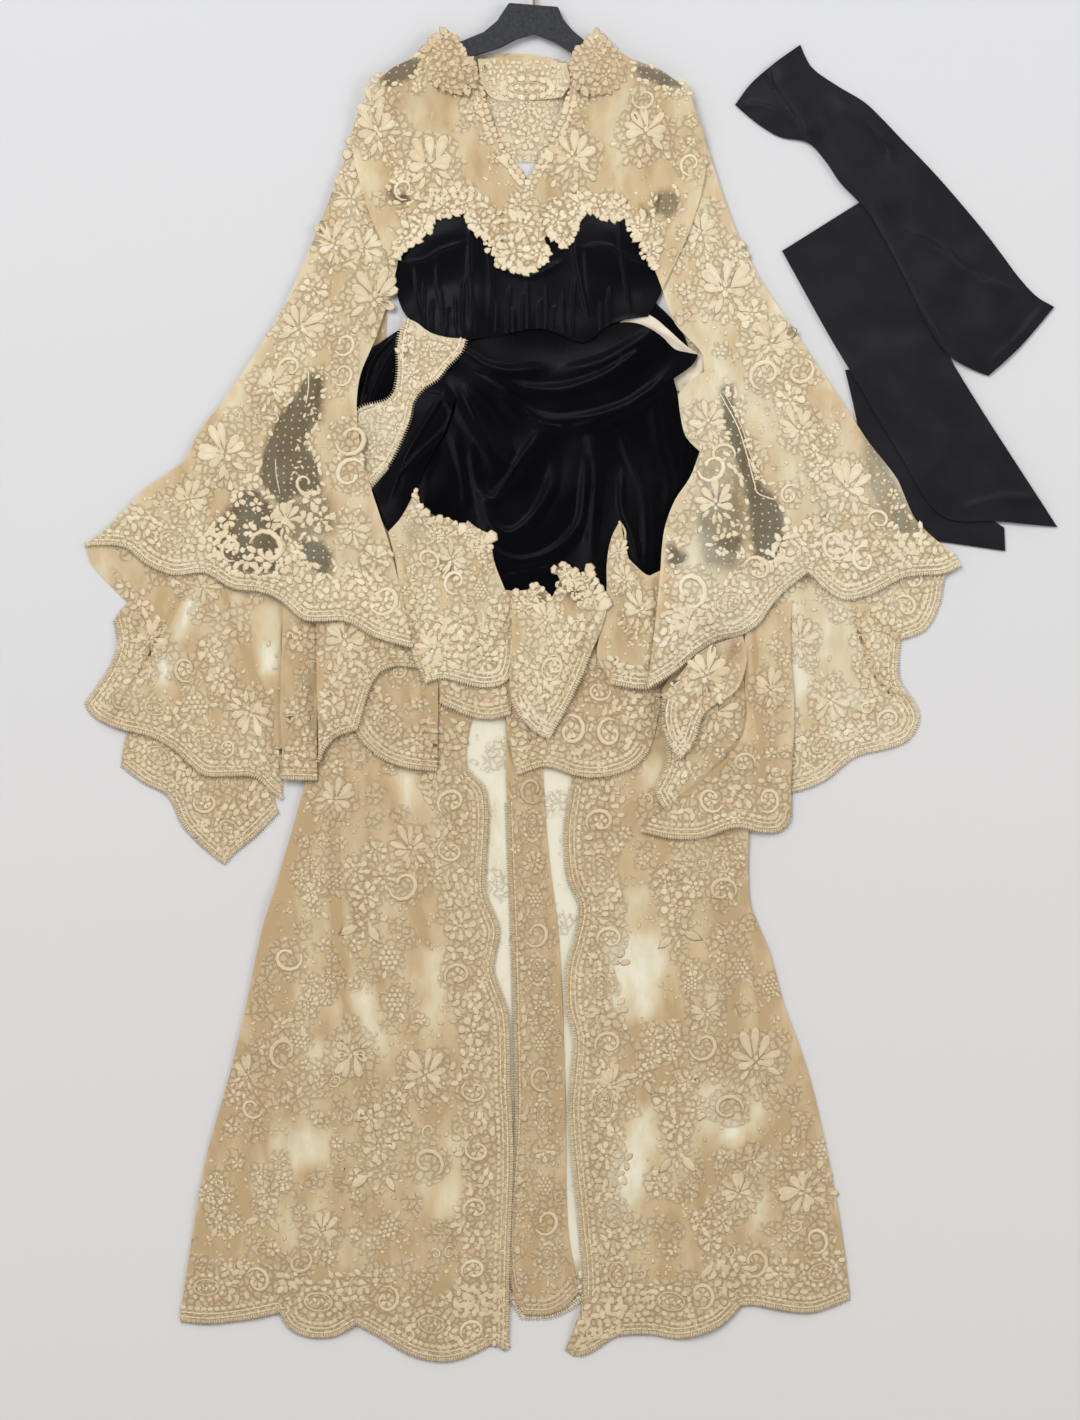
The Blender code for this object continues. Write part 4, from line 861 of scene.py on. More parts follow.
class Layout:
    """Motifs of one piece, in squares, with turns in degrees against the clock."""

    def __init__(self, laid, tone, seed, bare):
        self.rows, self.taken, self.worked = [], [], []
        self.laid, self.tone, self.bare, self.spills = laid, tone, bare, 0
        self.draw = np.random.default_rng(seed)
        self.ring = to_squares(laid.outline)

    def put(self, kind, spot, long, wide, turn, high=0.85, lighter=0.0, over=0):
        """One motif, higher where it is long, and with a small difference of its own in tone."""
        tone = self.tone + lighter + self.draw.normal(0, TONE_SPREAD)
        high = min(HIGHEST, high * MOTIF_RISE * max(1.0, long / LONG_MOTIF))
        self.rows.append((kind, *spot, long, wide, turn, high, tone, over or self.spills))

    def kept_rows(self):
        """The motifs whose centres are on the cloth, with those that are meant to stand over its edge."""
        rows = np.array(self.rows, float)
        for hole in self.laid.holes:
            hole = to_squares(hole)
            rows = rows[~inside(rows[:, 1:3], hole)]
            rows = rows[from_line(rows[:, 1:3], hole, closed=True)[0] > np.minimum(rows[:, 3], 9) * 0.45]
        return rows[inside(rows[:, 1:3], self.ring) | (rows[:, 8] > 0)]

    def thread(self, marks, wide, lighter=0.25):
        """One fine cord laid along a run of marks."""
        for spot, way in zip(*steps_along(eased_line(np.array(marks, float), 3.0), 4.6)):
            self.put(CORD, spot, 6.4, wide, way, 0.5, lighter, 1)

    def leaves_round(self, marks):
        """Leaves and petals that trim the rim of an open part."""
        for spot, way in zip(*steps_along(closed(eased_ring(np.array(marks, float), 3.0)), 6.5)):
            shift, pick = self.draw.normal(0, 2.5), self.draw.random()
            if pick < 0.62:
                kind = LEAF if pick < 0.3 else SMALL if pick < 0.48 else PEBBLE
                self.put(kind, beside(*spot, way + 90, shift), self.draw.uniform(7, 12),
                         self.draw.uniform(4.5, 6), way + self.draw.normal(0, 50), 0.9, 0.04)

    def fan(self, kind, across, down, size, turn, leans, reach, long, wide, high=0.85, lighter=0.0):
        """Motifs that point away from a centre. Reach, long and wide are shares of a flower's size."""
        for lean in leans:
            way = turn + lean + self.draw.normal(0, 7)
            out, grown = size * reach * self.draw.uniform(0.9, 1.1), self.draw.uniform(0.85, 1.15)
            self.put(kind, beside(across, down, way, out), size * long * grown, size * wide * grown,
                     way + self.draw.normal(0, 8), high, lighter)

    def lily(self, across, down, size, turn):
        """An open flower seen from the side: long petals over a cup, with leaves and seeds."""
        self.taken.append((across, down, size * 0.62))
        for lean, share in zip((-96, -62, -30, 4, 38, 70, 102), (0.4, 0.52, 0.6, 0.64, 0.58, 0.5, 0.38)):
            long = size * share * self.draw.uniform(0.82, 1.1)
            way = turn + lean + self.draw.normal(0, 6)
            self.put(PETAL, beside(across, down, way, long * 0.62), long,
                     size * 0.21 * self.draw.uniform(0.85, 1.2), way + self.draw.normal(0, 7), 1.25, 0.05)
        self.fan(PEBBLE, across, down, size, turn, (0, 90, 180, 270), 0.1, 0.17, 0.13, 1.1, 0.05)
        self.fan(LEAF, across, down, size, turn, (136, 170, 204, 236), 0.38, 0.36, 0.15, 0.9)
        self.fan(SMALL, across, down, size, turn, (120, 152, 188, 222), 0.66, 0.24, 0.14, 0.8)
        self.fan(DOT, across, down, size, turn, (118, 186, 250), 0.5, 0.11, 0.11)

    def rose(self, across, down, size):
        """A round flower: two rings of petals and a seeded eye."""
        self.taken.append((across, down, size * 0.5))
        spin, count = self.draw.uniform(0, 60), 6 + self.draw.integers(3)
        self.fan(SMALL, across, down, size, spin, [360 / count * k for k in range(count)], 0.35, 0.32,
                 2.0 / count, 0.9, 0.04)
        self.fan(SMALL, across, down, size, spin + 20, range(0, 360, 72), 0.17, 0.22, 0.18, 1.1, 0.08)
        self.put(DOT, (across, down), size * 0.12, size * 0.12, 0, 1.3, 0.1)

    def blossom(self, across, down, size):
        """A small five-petalled flower."""
        self.taken.append((across, down, size * 0.5))
        self.fan(SMALL, across, down, size, self.draw.uniform(0, 72), range(0, 360, 72), 0.27, 0.44, 0.36,
                 0.85, 0.05)

    def grapes(self, across, down, size, turn):
        """A bunch of seeds over two leaves."""
        self.taken.append((across, down, size * 0.5))
        for row, count in enumerate((2, 3, 4, 3, 2)):
            for k in range(count):
                spot = beside(across, down, turn, (row - 2) * size * 0.17,
                              (k - (count - 1) / 2) * size * 0.19)
                self.put(PEBBLE, spot, size * 0.2, size * 0.19, self.draw.uniform(0, 180), 0.9, 0.02)
        self.fan(LEAF, across, down, size, turn, (-28, 28), 0.62, 0.44, 0.2, 0.9, 0.04)

    def bouquet(self, across, down, size, turn):
        """Roses that climb from a pair of leaves, with seeds and buds round them."""
        for along, aside, grown in ((0.85, -0.1, 0.5), (0.42, 0.3, 0.62), (0.3, -0.34, 0.56),
                                    (-0.14, 0.05, 0.7)):
            self.rose(*beside(across, down, turn, size * along, size * aside), size * grown)
        foot = beside(across, down, turn, size * -0.62)
        self.fan(PEBBLE, *foot, size, turn, range(0, 360, 72), 0.16, 0.17, 0.14, 0.9)
        self.fan(LEAF, *foot, size, turn, (138, 222), 0.42, 0.46, 0.22, 0.95, 0.05)
        self.fan(SMALL, *foot, size, turn, (90, 180, 270), 0.36, 0.2, 0.12, 0.8)
        self.taken.append((*foot, size * 0.3))

    def sprig(self, across, down, size, turn):
        """A bent twig with leaves by turns on its two sides."""
        bend = self.draw.choice((-1, 1)) * self.draw.uniform(8, 22)
        tip, way = (across, down), turn - bend * 1.5
        for k in range(4):
            tip = beside(*tip, way, size * 0.22)
            lean, long = way + (62 if k % 2 else -62), size * (0.34 - 0.03 * k)
            self.put(LEAF, beside(*tip, lean, long * 0.5), long, long * 0.5, lean)
            way += bend
        self.put(LEAF, beside(*tip, way, size * 0.16), size * 0.3, size * 0.15, way)
        self.taken.append((across + (tip[0] - across) * 0.6, down + (tip[1] - down) * 0.6, size * 0.42))

    def curl(self, across, down, size, turn, back=False):
        """A corded scroll with seeds in its bend."""
        self.taken.append((across, down, size * 0.5))
        self.put(CURL_BACK if back else CURL, (across, down), size, size, turn, 1.1, 0.03)
        for k in range(5):
            way = turn + (60 + 62 * k) * (-1 if back else 1)
            self.put(PEBBLE, beside(across, down, way, size * 0.57), size * 0.17, size * 0.13, way + 90,
                     0.8)

    def medallion(self, across, down, size, turn, width=0.66):
        """An oval cord filled with seeds and ringed with petals."""
        self.taken.append((across, down, size * (0.5 + width) * 0.36))
        self.put(RING, (across, down), size * 0.66, size * 0.66 * width, turn, 1.0, 0.03)
        for k in range(14):
            a = math.tau * k / 14
            spot = beside(across, down, turn, math.cos(a) * size * 0.42,
                          math.sin(a) * size * 0.42 * (width + 0.06))
            self.put(PEBBLE, spot, size * 0.13, size * 0.17, turn + math.degrees(a), 0.8)
        for k in range(7):
            spot = beside(across, down, turn, (k - 3) * size * 0.085, (k % 2 - 0.5) * size * 0.1 * width)
            self.put(LEAF, spot, size * 0.15, size * 0.09, turn + (50 if k % 2 else -50), 0.9, 0.05)

    def border(self, start, end, via, deep):
        """A worked edge: lashes, two cords, shells, scrolls and ovals, then seeds to its full depth."""
        line = self.edge_line(start, end, via)
        self.worked.append((line, deep))
        self.line_of(line, 0.6, 2.5, LASH, 6.4, 1.6, 0.4, turned=-90, lighter=-0.06, over=1)
        self.line_of(line, 5.0, 5.2, CORD, 6.6, 2.2, 0.8, lighter=0.05)
        if deep > 12:
            self.line_of(line, 9.4, 5.6, CORD, 7.0, 2.0, 0.8, lighter=0.05)
            self.line_of(line, 14.0, 7.2, PEBBLE, 5.6, 7.4, 0.8, turned=90)
        if deep > 30:
            for spot, way in self.stations(line, deep * 0.66, deep * 1.12):
                if self.clear_of(spot[None], deep * 0.2)[0] and self.in_piece(spot[None], deep * 0.3)[0]:
                    pick = self.draw.integers(4)
                    if pick == 0:
                        self.medallion(*spot, deep * self.draw.uniform(0.72, 0.86), way)
                    elif pick < 3:
                        self.curl(*spot, deep * self.draw.uniform(0.54, 0.66), way + 90, pick == 1)
                        self.blossom(*spot, deep * 0.3)
                    else:
                        self.rose(*spot, deep * 0.62)
        self.seeds(line, 19.5 if deep > 12 else 8.5, deep)

    def flower_edge(self, start, end, via, size=10.0):
        """An edge of close small petals that stand out past the net."""
        line = self.edge_line(start, end, via)
        self.worked.append((line, size * 2.2))
        self.line_of(line, 2.0, size * 0.84, SMALL, size * 1.15, size * 0.92, 0.7, turned=-90, over=1,
                     loose=0.36)
        self.line_of(line, size * 0.95, size * 0.62, CORD, size * 0.7, size * 0.2, 0.9, loose=0.1)
        for spot, _ in self.stations(line, size * 1.75, size * 2.0):
            if self.in_piece(spot[None], size * 0.3)[0]:
                self.rose(*spot, size * 1.7)

    def petal_edge(self, start, end, via):
        """Two rows of small petals along a bare edge."""
        line = self.edge_line(start, end, via)
        self.line_of(line, -0.5, 6.2, PEBBLE, 7.6, 6.0, 0.7, over=1, loose=0.3)
        self.line_of(line, 5.5, 7.0, SMALL, 8.4, 6.4, 0.8, loose=0.3)

    def guipure(self, start, end, via, flowers):
        """Thick lace: small round flowers over the whole piece, and a scalloped edge of petals."""
        line = self.edge_line(start, end, via)
        self.worked.append((line, 40))
        self.line_of(line, 1.6, 5.4, SMALL, 7.0, 5.6, 0.7, turned=-90, over=1, loose=0.35)
        self.spills = 1
        for across, down, size in flowers:
            self.rose(across, down, size * 1.12)
        self.line_of(closed(self.ring), 0.5, 8.5, LEAF, 8.5, 5.5, 0.6, turned=-60, loose=0.4)
        self.spills = 0
        self.seeded_rim(3, 6.6, 1.0)

    def seeded_rim(self, near, gap, thick):
        self.seeds(self.ring, near, 40, gap, thick)

    def seeds(self, line, near, deep, gap=9.0, thick=1.0):
        """Seeds packed in a strip along a line, turned with it."""
        spots = self.jittered(gap, 0.24, 3.2, line.min(0) - deep, line.max(0) + deep)
        if not len(spots):
            return
        distance, run, _ = from_line(spots, line)
        wander = deep * (1 + 0.14 * np.sin(run * len(line) * 0.55) - 0.1 * self.draw.random(len(spots)))
        keep = (distance > near) & (distance < wander) & self.clear_of(spots, 2.0)
        for spot, way, far in zip(spots[keep], line_ways(line, run[keep]), distance[keep]):
            size = gap * self.draw.uniform(0.84, 1.1)
            lean = way + self.draw.normal(0, 20) + (90 if math.sin(far * 0.6) > 0.5 else 0)
            self.put(PEBBLE if self.draw.random() < 0.7 else SMALL, spot, size * 1.28, size * 0.76, lean,
                     thick * self.draw.uniform(0.7, 1.0))

    def clusters(self, gap, size, clear=26.0):
        """Larger flowers by chance where there is still room for them."""
        for k, spot in enumerate(self.jittered(gap, 0.3, clear)):
            if self.is_bare(spot) or not self.clear_of(spot[None], size * 0.42)[0]:
                continue
            if any(from_line(spot[None], line)[0][0] < deep + size * 0.2 for line, deep in self.worked):
                continue
            pick, turn = self.draw.integers(5), self.draw.uniform(0, 360)
            grown = size * self.draw.uniform(0.8, 1.1)
            if pick == 0:
                self.lily(*spot, grown, turn)
            elif pick == 1:
                self.grapes(*spot, grown * 0.8, turn)
            elif pick == 2:
                self.curl(*spot, grown * 0.8, turn, k % 2 == 0)
                self.blossom(*spot, grown * 0.4)
            elif pick == 3:
                self.sprig(*spot, grown * 1.1, turn)
            else:
                self.rose(*spot, grown * 0.8)

    def ground(self, gap, amount=1.0, clear=9.0):
        """Scattered small motifs between the larger ones, with bare net left between."""
        spots = self.jittered(gap, 0.3, clear)
        self.draw.shuffle(spots)
        for spot in spots:
            if self.draw.random() > amount or self.is_bare(spot):
                continue
            if not self.clear_of(spot[None], gap * 0.28)[0]:
                continue
            pick, turn = self.draw.random(), self.draw.uniform(0, 360)
            if pick < 0.3:
                self.blossom(*spot, gap * self.draw.uniform(0.66, 0.9))
            elif pick < 0.62:
                self.sprig(*spot, gap * self.draw.uniform(0.8, 1.05), turn)
            elif pick < 0.7:
                self.curl(*spot, gap * self.draw.uniform(0.7, 0.95), turn, pick < 0.66)
            elif pick < 0.9:
                self.fan(LEAF, *spot, gap, turn, (0, 75, 150), 0.2, 0.36, 0.17)
            else:
                self.fan(DOT, *spot, gap, turn, (0, 90, 200), 0.17, 0.16, 0.16)
        spots = self.jittered(gap * 0.42, 0.3, clear * 0.6)
        keep = self.clear_of(spots, gap * 0.12) & (self.draw.random(len(spots)) < 0.3 * amount)
        for spot in spots[keep]:
            if not self.is_bare(spot):
                size = self.draw.uniform(4.2, 6.2)
                self.put(LEAF if self.draw.random() < 0.55 else DOT, spot, size * 1.25, size * 0.7,
                         self.draw.uniform(0, 360), 0.6)

    def jittered(self, gap, share, clear, low=None, high=None):
        """Points of an even field over the piece, each moved by chance, clear of its edge."""
        low, high = (self.ring.min(0), self.ring.max(0)) if low is None else (low, high)
        points = staggered(low, high + (gap, 0), gap, gap * 0.87)
        points = points + self.draw.uniform(-share, share, points.shape) * gap
        return points[self.in_piece(points, clear)]

    def is_bare(self, spot):
        return any(inside(spot[None], np.array(marks, float))[0] for marks in self.bare)

    def clear_of(self, spots, margin):
        """Which spots are clear of the larger motifs so far."""
        clear = np.ones(len(spots), bool)
        for across, down, radius in self.taken:
            clear &= np.hypot(spots[:, 0] - across, spots[:, 1] - down) > radius + margin
        return clear

    def in_piece(self, spots, clear):
        """Which spots lie in the piece, so far from its edge."""
        keep = inside(spots, self.ring)
        if keep.any():
            keep[keep] = from_line(spots[keep], self.ring, closed=True)[0] > clear
        return keep

    def edge_line(self, start, end, via):
        """The stretch of the outline from one mark to the other that passes the third."""
        start, end = (int(np.argmin(np.hypot(*(self.ring - mark).T))) for mark in (start, end))
        count = len(self.ring)
        one = self.ring[np.arange(start, start + (end - start) % count + 1) % count]
        two = self.ring[np.arange(start, start - (start - end) % count - 1, -1) % count]
        return min((one, two), key=lambda line: np.hypot(*(line - via).T).min())

    def inner_side(self, line, step, reach):
        """Points a step apart along a line, its ways there, and the side of it that is cloth."""
        points, ways = steps_along(line, step)
        for side in (1, -1):
            if inside(np.column_stack(beside(*points.T, ways + 90 * side, reach)), self.ring).mean() > 0.5:
                break
        return points, ways, side

    def stations(self, line, inward, step):
        """Spots at even steps beside a line, on the side of the cloth."""
        points, ways, side = self.inner_side(line, step, inward)
        return zip(np.column_stack(beside(*points.T, ways + 90 * side, inward)), ways)

    def line_of(self, line, inward, step, kind, long, wide, high, turned=0.0, lighter=0.0, over=0,
                loose=0.0):
        """A row of one motif along a line, so far in from it."""
        points, ways, side = self.inner_side(line, step, 4)
        for spot, way in zip(points, ways):
            grown = 1 + self.draw.normal(0, loose)
            self.put(kind, beside(*spot, way + 90 * side, inward), long * grown, wide * grown,
                     way + turned * side + self.draw.normal(0, 60 * loose), high, lighter, over)


def line_net(laid, layout, lining, patches, windows, half, creases):
    """Say at each point of a net how dense it is, where it is open, and where it is worked; the grooves of
    its folds are denser, with painted shade there.
    """
    mesh = laid.piece.data
    points = np.zeros(len(mesh.vertices) * 3)
    mesh.vertices.foreach_get("co", points)
    points = to_squares(points.reshape(-1, 3)[:, :2])

    def share(marks, soft):
        ring = np.array(marks, float)
        gap = from_line(points, ring, closed=True)[0]
        return np.clip(0.5 + np.where(inside(points, ring), gap, -gap) / soft, 0, 1)

    lining_with_groove_shade, tone = (np.full(len(points), float(value)) for value in (lining, layout.tone))
    opened, worked = np.zeros(len(points)), np.full(len(points), 0.22)
    for marks, amount in patches:
        lining_with_groove_shade += (amount - lining_with_groove_shade) * share(marks, 16)
        worked *= 1 - share(marks, 16) * (amount < PALE)
    for line, deep in layout.worked:
        worked = np.maximum(worked, np.clip((deep - from_line(points, line)[0]) / 10, 0, 1))
    for across, down, radius in layout.taken:
        gap = np.hypot(points[:, 0] - across, points[:, 1] - down)
        worked = np.maximum(worked, np.clip((radius + 7 - gap) / 8, 0, 0.85))
    for marks in windows:
        opened = np.maximum(opened, share(marks, 5))
    for marks in half:
        opened = np.maximum(opened, share(marks, 12) * 0.8)
    # the grooves of the folds: denser net where it doubles, and painted shade there, a darker tan
    lining_with_groove_shade += 0.5 * groove_shade_share(points, creases)
    for name, values in (("lining", lining_with_groove_shade), ("open", opened), ("worked", worked * (1 - opened)),
                         ("tone", tone)):
        note(mesh, name, values)


def groove_shade_share(points, creases):
    """How deep each point lies in the grooves among the creases, from 0 to 1 for each of them: the share of
    painted shade there.
    """
    return sum((np.clip(1 - from_line(points, np.array(run, float))[0] / left, 0, 1)
                for run, left, _, high in creases if high < 0), np.zeros(len(points)))


def lace_piece(node, lining, tone, work, patches=(), windows=(), creases=(), waves=(0.05, 0.0008),
               slot="lace", spacing=NET_SPACING, bare=(), moves=(), drop=NET_DROP, half=()):
    """Lay a lace piece: its net, then its work, each a kind of motif and the places of it."""
    shallow = [(run, left, right, high * (GROOVE if high < 0 else 1.0))
               for run, left, right, high in creases]
    laid = lay_cloth(node, SILK_NET, spacing, NET_WALL, shallow, drop, soften=4.0, waves=waves, moves=moves)
    pale = [marks for marks, amount in patches if amount < PALE]
    layout = Layout(laid, tone, len(laid_names), pale + list(windows) + list(bare))
    for kind, *places in work:
        for place in places:
            getattr(layout, kind)(*place)
    for marks in windows:
        layout.leaves_round(marks)
    line_net(laid, layout, lining, patches, windows, half, creases)
    rows = layout.kept_rows()
    # painted shade: motifs that lie in the grooves of the folds are darker in tone
    rows[:, 7] -= 0.4 * groove_shade_share(rows[:, 1:3], creases)
    hand_over(laid, [sew_on(laid, rows, node + "_motifs")])


BODICE_BLACK = satin_finish("bodice_satin", (0.0026, 0.0022, 0.004), 0.3, 0.15)
satin_piece("bodice_back", BODICE_BLACK, 0.006, waves=(0.1, 0.0002))
yoke_back_work = [
    ("rose", (512, 118, 24), (541, 120, 24), (527, 138, 26), (497, 128, 20), (556, 134, 20), (508, 152, 18),
     (548, 156, 18), (527, 106, 18)),
    ("clusters", (26, 20, 8)),
    ("ground", (12, 1.0, 4))]
lace_piece("yoke_back", 0.5, 0.62, yoke_back_work, waves=(0.1, 0.0002), spacing=0.009)
skirt_back_work = [
    ("border", ((196, 1306), (836, 1288), (510, 1300), 30)),
    ("sprig", (488, 764, 30, 60), (484, 800, 22, 250), (498, 900, 22, 100), (556, 815, 24, 100),
     (558, 930, 20, 70))]
lace_piece("skirt_back", -0.05, 0.95, skirt_back_work, waves=(0.1, 0.0002), spacing=0.014, patches=[
    ([(190, 1270), (840, 1260), (850, 1350), (190, 1350)], 0.9)])


HEM_FLOWER = 36


def hem_work(start, end, via, deep, flowers=(), amount=0.8):
    """The work of a plain hem piece: its border, its flowers, then the ground."""
    return [("border", (start, end, via, deep)), ("lily", *flowers),
            ("clusters", (HEM_FLOWER * 1.1, HEM_FLOWER, 14)), ("ground", (18, amount, 6))]


lace_piece("sleeve_left_tip", 0.8, 0.42, hem_work((121, 762), (279, 812), (225, 864), 46), creases=[
    ([(222, 775), (222, 820), (222, 858)], 3, 3, -1.6), ([(165, 745), (190, 800), (205, 840)], 12, 8, 2.0),
    ([(262, 770), (255, 805), (240, 840)], 6, 10, 1.6)])
lace_piece("sleeve_left_back", 0.8, 0.42, hem_work((116, 622), (282, 799), (86, 703), 42, [
    (250, 712, 40, 290), (150, 640, 34, 60)], amount=0.5), patches=[
    ([(186, 600), (200, 590), (198, 612), (184, 638), (172, 642)], -0.1),
    ([(160, 652), (178, 650), (178, 668), (162, 684), (150, 676)], 0.1),
    ([(256, 600), (280, 600), (276, 640), (260, 640)], 0.45),
    ([(262, 648), (275, 645), (273, 672), (264, 672)], -0.1)], bare=[
    [(88, 550), (160, 552), (175, 580), (160, 612), (128, 612), (108, 588)]], creases=[
    ([(201, 573), (175, 619), (155, 655), (137, 688), (117, 722)], 12, 6, 1.9),
    ([(197, 573), (170, 616), (150, 652), (132, 685), (112, 718)], 6, 6, -2.4),
    ([(226, 597), (240, 640), (254, 675), (268, 702), (273, 764)], 5, 5, -1.8),
    ([(128, 604), (150, 640), (146, 664)], 5, 5, -1.6),
    ([(215, 620), (214, 690), (222, 770)], 12, 12, 2.2)])
lace_piece("sleeve_right_back", 0.5, 0.62, hem_work((955, 568), (752, 790), (919, 716), 46, [
    (800, 640, 34, 80), (830, 700, 36, 280)], amount=0.6), patches=[
    ([(772, 610), (792, 606), (800, 650), (812, 690), (790, 694), (776, 660)], -0.1),
    ([(800, 612), (832, 616), (832, 656), (806, 660)], 0.25),
    ([(848, 690), (864, 692), (864, 704), (850, 702)], 0.0),
    ([(876, 580), (890, 582), (888, 596), (876, 594)], 0.0)], windows=[
    [(860, 424), (884, 452), (905, 490), (930, 534), (905, 542), (882, 528), (868, 500), (858, 458)]],
    creases=[
    ([(852, 606), (862, 640), (870, 665), (884, 684), (908, 702)], 7, 7, -2.4),
    ([(848, 606), (858, 642), (866, 668), (882, 690), (902, 708)], 3, 12, 3.0),
    ([(900, 640), (878, 622), (866, 612)], 9, 9, -1.2),
    ([(852, 712), (880, 712), (912, 716)], 3, 3, -1.4),
    ([(812, 700), (818, 740), (820, 776)], 9, 9, 2.0)])

# Centre back pleat: the fullness of the skirt's back folded over itself, so that the net is double
# and the curls, ovals, roses and grapes down its length stand close. It is sewn in at the waist.
pleat_work = [("border", ((506, 800), (514, 1290), (513, 1000), 12))]
for k, down in enumerate(range(790, 1290, 36)):
    across = 532 + (down - 800) * 0.035
    pleat_work.append((("curl", (across, down, 32, 80 + 20 * (k % 2), bool(k % 8))),
                       ("medallion", (across, down, 36, 88, 0.5)),
                       ("rose", (across, down, 24)),
                       ("grapes", (across, down, 22, 90)))[k % 4])
pleat_work += [("ground", (14, 1.0, 5)), ("border", ((579, 1292), (524, 1314), (549, 1314), 24))]
lace_piece("skirt_back_pleat", 0.97, 0.16, pleat_work)

# Hanger: one flat black bar with a raised hub, and a brass wire hook screwed into the hub. Both
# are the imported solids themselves, and the cloth of the shoulders is laid over the bar.
for node, slot, name, dark, light, scale, detail, plain in (
        ("hanger", "hanger_black", "black_bar", (0.3, (0.026, 0.027, 0.031)), (0.75, (0.052, 0.053, 0.06)),
         240.0, 4.0, {"Roughness": 0.5, "Specular_IOR_Level": 0.35}),
        ("hook", "hook_brass", "brass_wire", (0.35, (0.72, 0.55, 0.3)), (0.7, (0.5, 0.36, 0.18)),
         150.0, 5.0, {"Metallic": 1.0, "Roughness": 0.3})):
    material, tree, shader, place = new_material(name, **plain)
    grain = grain_of(tree, place, scale, detail)
    colour = ramp_of(tree, grain, [dark, light])
    feed(tree, colour, shader.inputs["Base Color"])
    if node == "hanger":
        finish_with(tree, shader, colour, grain, 0.12, 0.0004)
    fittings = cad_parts[node]
    fittings.data.materials.clear()
    fittings.data.materials.append(material)
_, points, faces = cut_of("hanger")
place, _, shape, origin = window_of(points)
bar = height_map(points, faces, shape, origin)
covers = ~np.isnan(bar)
pile[place][covers] = np.maximum(pile[place][covers], bar[covers])

# Long lace skirt fronts: two wide panels that part at the centre. Each has a deep worked border
# down its centre edge and round its hem, and flowers on its ground.
skirt_left_work = [
    ("border", ((468, 769), (508, 1350), (499, 930), 54), ((506, 1350), (182, 1320), (356, 1323), 54)),
    ("bouquet", (368, 890, 46, 85), (382, 1140, 48, 80), (312, 888, 30, 100), (270, 1190, 36, 80),
     (312, 1000, 32, 60), (218, 1205, 30, 100)),
    ("lily", (334, 800, 38, 40), (412, 850, 38, 120), (352, 1052, 40, 250), (425, 1075, 44, 80),
     (322, 1232, 34, 70), (248, 1075, 30, 70)),
    ("curl", (404, 885, 38, 60, True), (288, 958, 34, 150), (284, 1052, 38, 60), (428, 1162, 38, 160, True),
     (252, 1108, 26, 120), (300, 1262, 30, 200)),
    ("grapes", (335, 880, 24, 250), (395, 1000, 28, 270), (300, 1040, 24, 200)),
    ("clusters", (80, 38)),
    ("ground", (18, 0.74))]
lace_piece("skirt_left", 0.87, 0.3, skirt_left_work, waves=(0.06, 0.0012), patches=[
    ([(420, 948), (444, 950), (444, 985), (436, 1022), (424, 1018), (416, 980)], 0.42),
    ([(328, 1000), (352, 992), (352, 1040), (342, 1072), (326, 1052)], 0.5),
    ([(395, 770), (418, 764), (418, 800), (408, 828), (398, 806)], 0.45),
    ([(268, 1140), (286, 1132), (284, 1180), (268, 1190)], 0.5),
    ([(452, 1140), (466, 1135), (462, 1190), (452, 1200)], 0.5),
    ([(308, 1040), (349, 1036), (346, 1062), (312, 1066)], 0.35),
    ([(250, 1132), (272, 1136), (268, 1200), (248, 1190)], 0.45),
    ([(289, 1125), (335, 1130), (330, 1162), (292, 1166)], 0.35),
    ([(420, 1175), (462, 1171), (464, 1214), (436, 1222)], 0.45),
    ([(350, 990), (374, 994), (384, 1052), (362, 1056)], 0.45),
    ([(300, 800), (326, 790), (312, 880), (290, 960), (278, 1060), (256, 1160), (232, 1300), (176, 1320),
      (205, 1180), (240, 1020), (270, 900)], 1.1),
    ([(170, 1262), (300, 1258), (400, 1274), (515, 1280), (515, 1370), (170, 1370)], 1.12)], creases=[
    ([(333, 812), (333, 880), (340, 960), (348, 1020)], 10, 10, -2.0),
    ([(290, 850), (268, 960), (256, 1060), (272, 1190)], 8, 8, -1.6),
    ([(410, 900), (424, 925), (428, 945)], 9, 9, -1.4),
    ([(345, 800), (348, 980), (350, 1140), (352, 1320)], 14, 7, 3.2),
    ([(300, 860), (275, 1010), (240, 1180), (225, 1310)], 10, 14, 2.2),
    ([(420, 800), (412, 940), (418, 1120), (428, 1340)], 12, 12, 2.4),
    ([(375, 860), (372, 1000), (385, 1180), (388, 1320)], 8, 8, 1.6)])
skirt_right_work = [
    ("border", ((571, 787), (583, 1296), (567, 966), 52), ((580, 1350), (850, 1298), (723, 1323), 54)),
    ("bouquet", (678, 900, 44, 90), (680, 1120, 46, 85), (655, 1055, 34, 60), (712, 1235, 36, 95),
     (728, 868, 28, 80)),
    ("lily", (756, 1062, 50, 90), (690, 835, 34, 80), (706, 1012, 30, 120), (805, 1192, 44, 200),
     (752, 1160, 28, 60), (612, 1085, 32, 60)),
    ("curl", (722, 890, 34, 200, True), (704, 1046, 36, 60, True), (728, 1108, 36, 200, True),
     (755, 1262, 36, 90, True), (816, 1240, 32, 120, True)),
    ("grapes", (740, 968, 24, 270), (770, 985, 22, 280), (822, 1150, 24, 280), (690, 985, 20, 60)),
    ("clusters", (80, 38)),
    ("ground", (18, 0.74))]
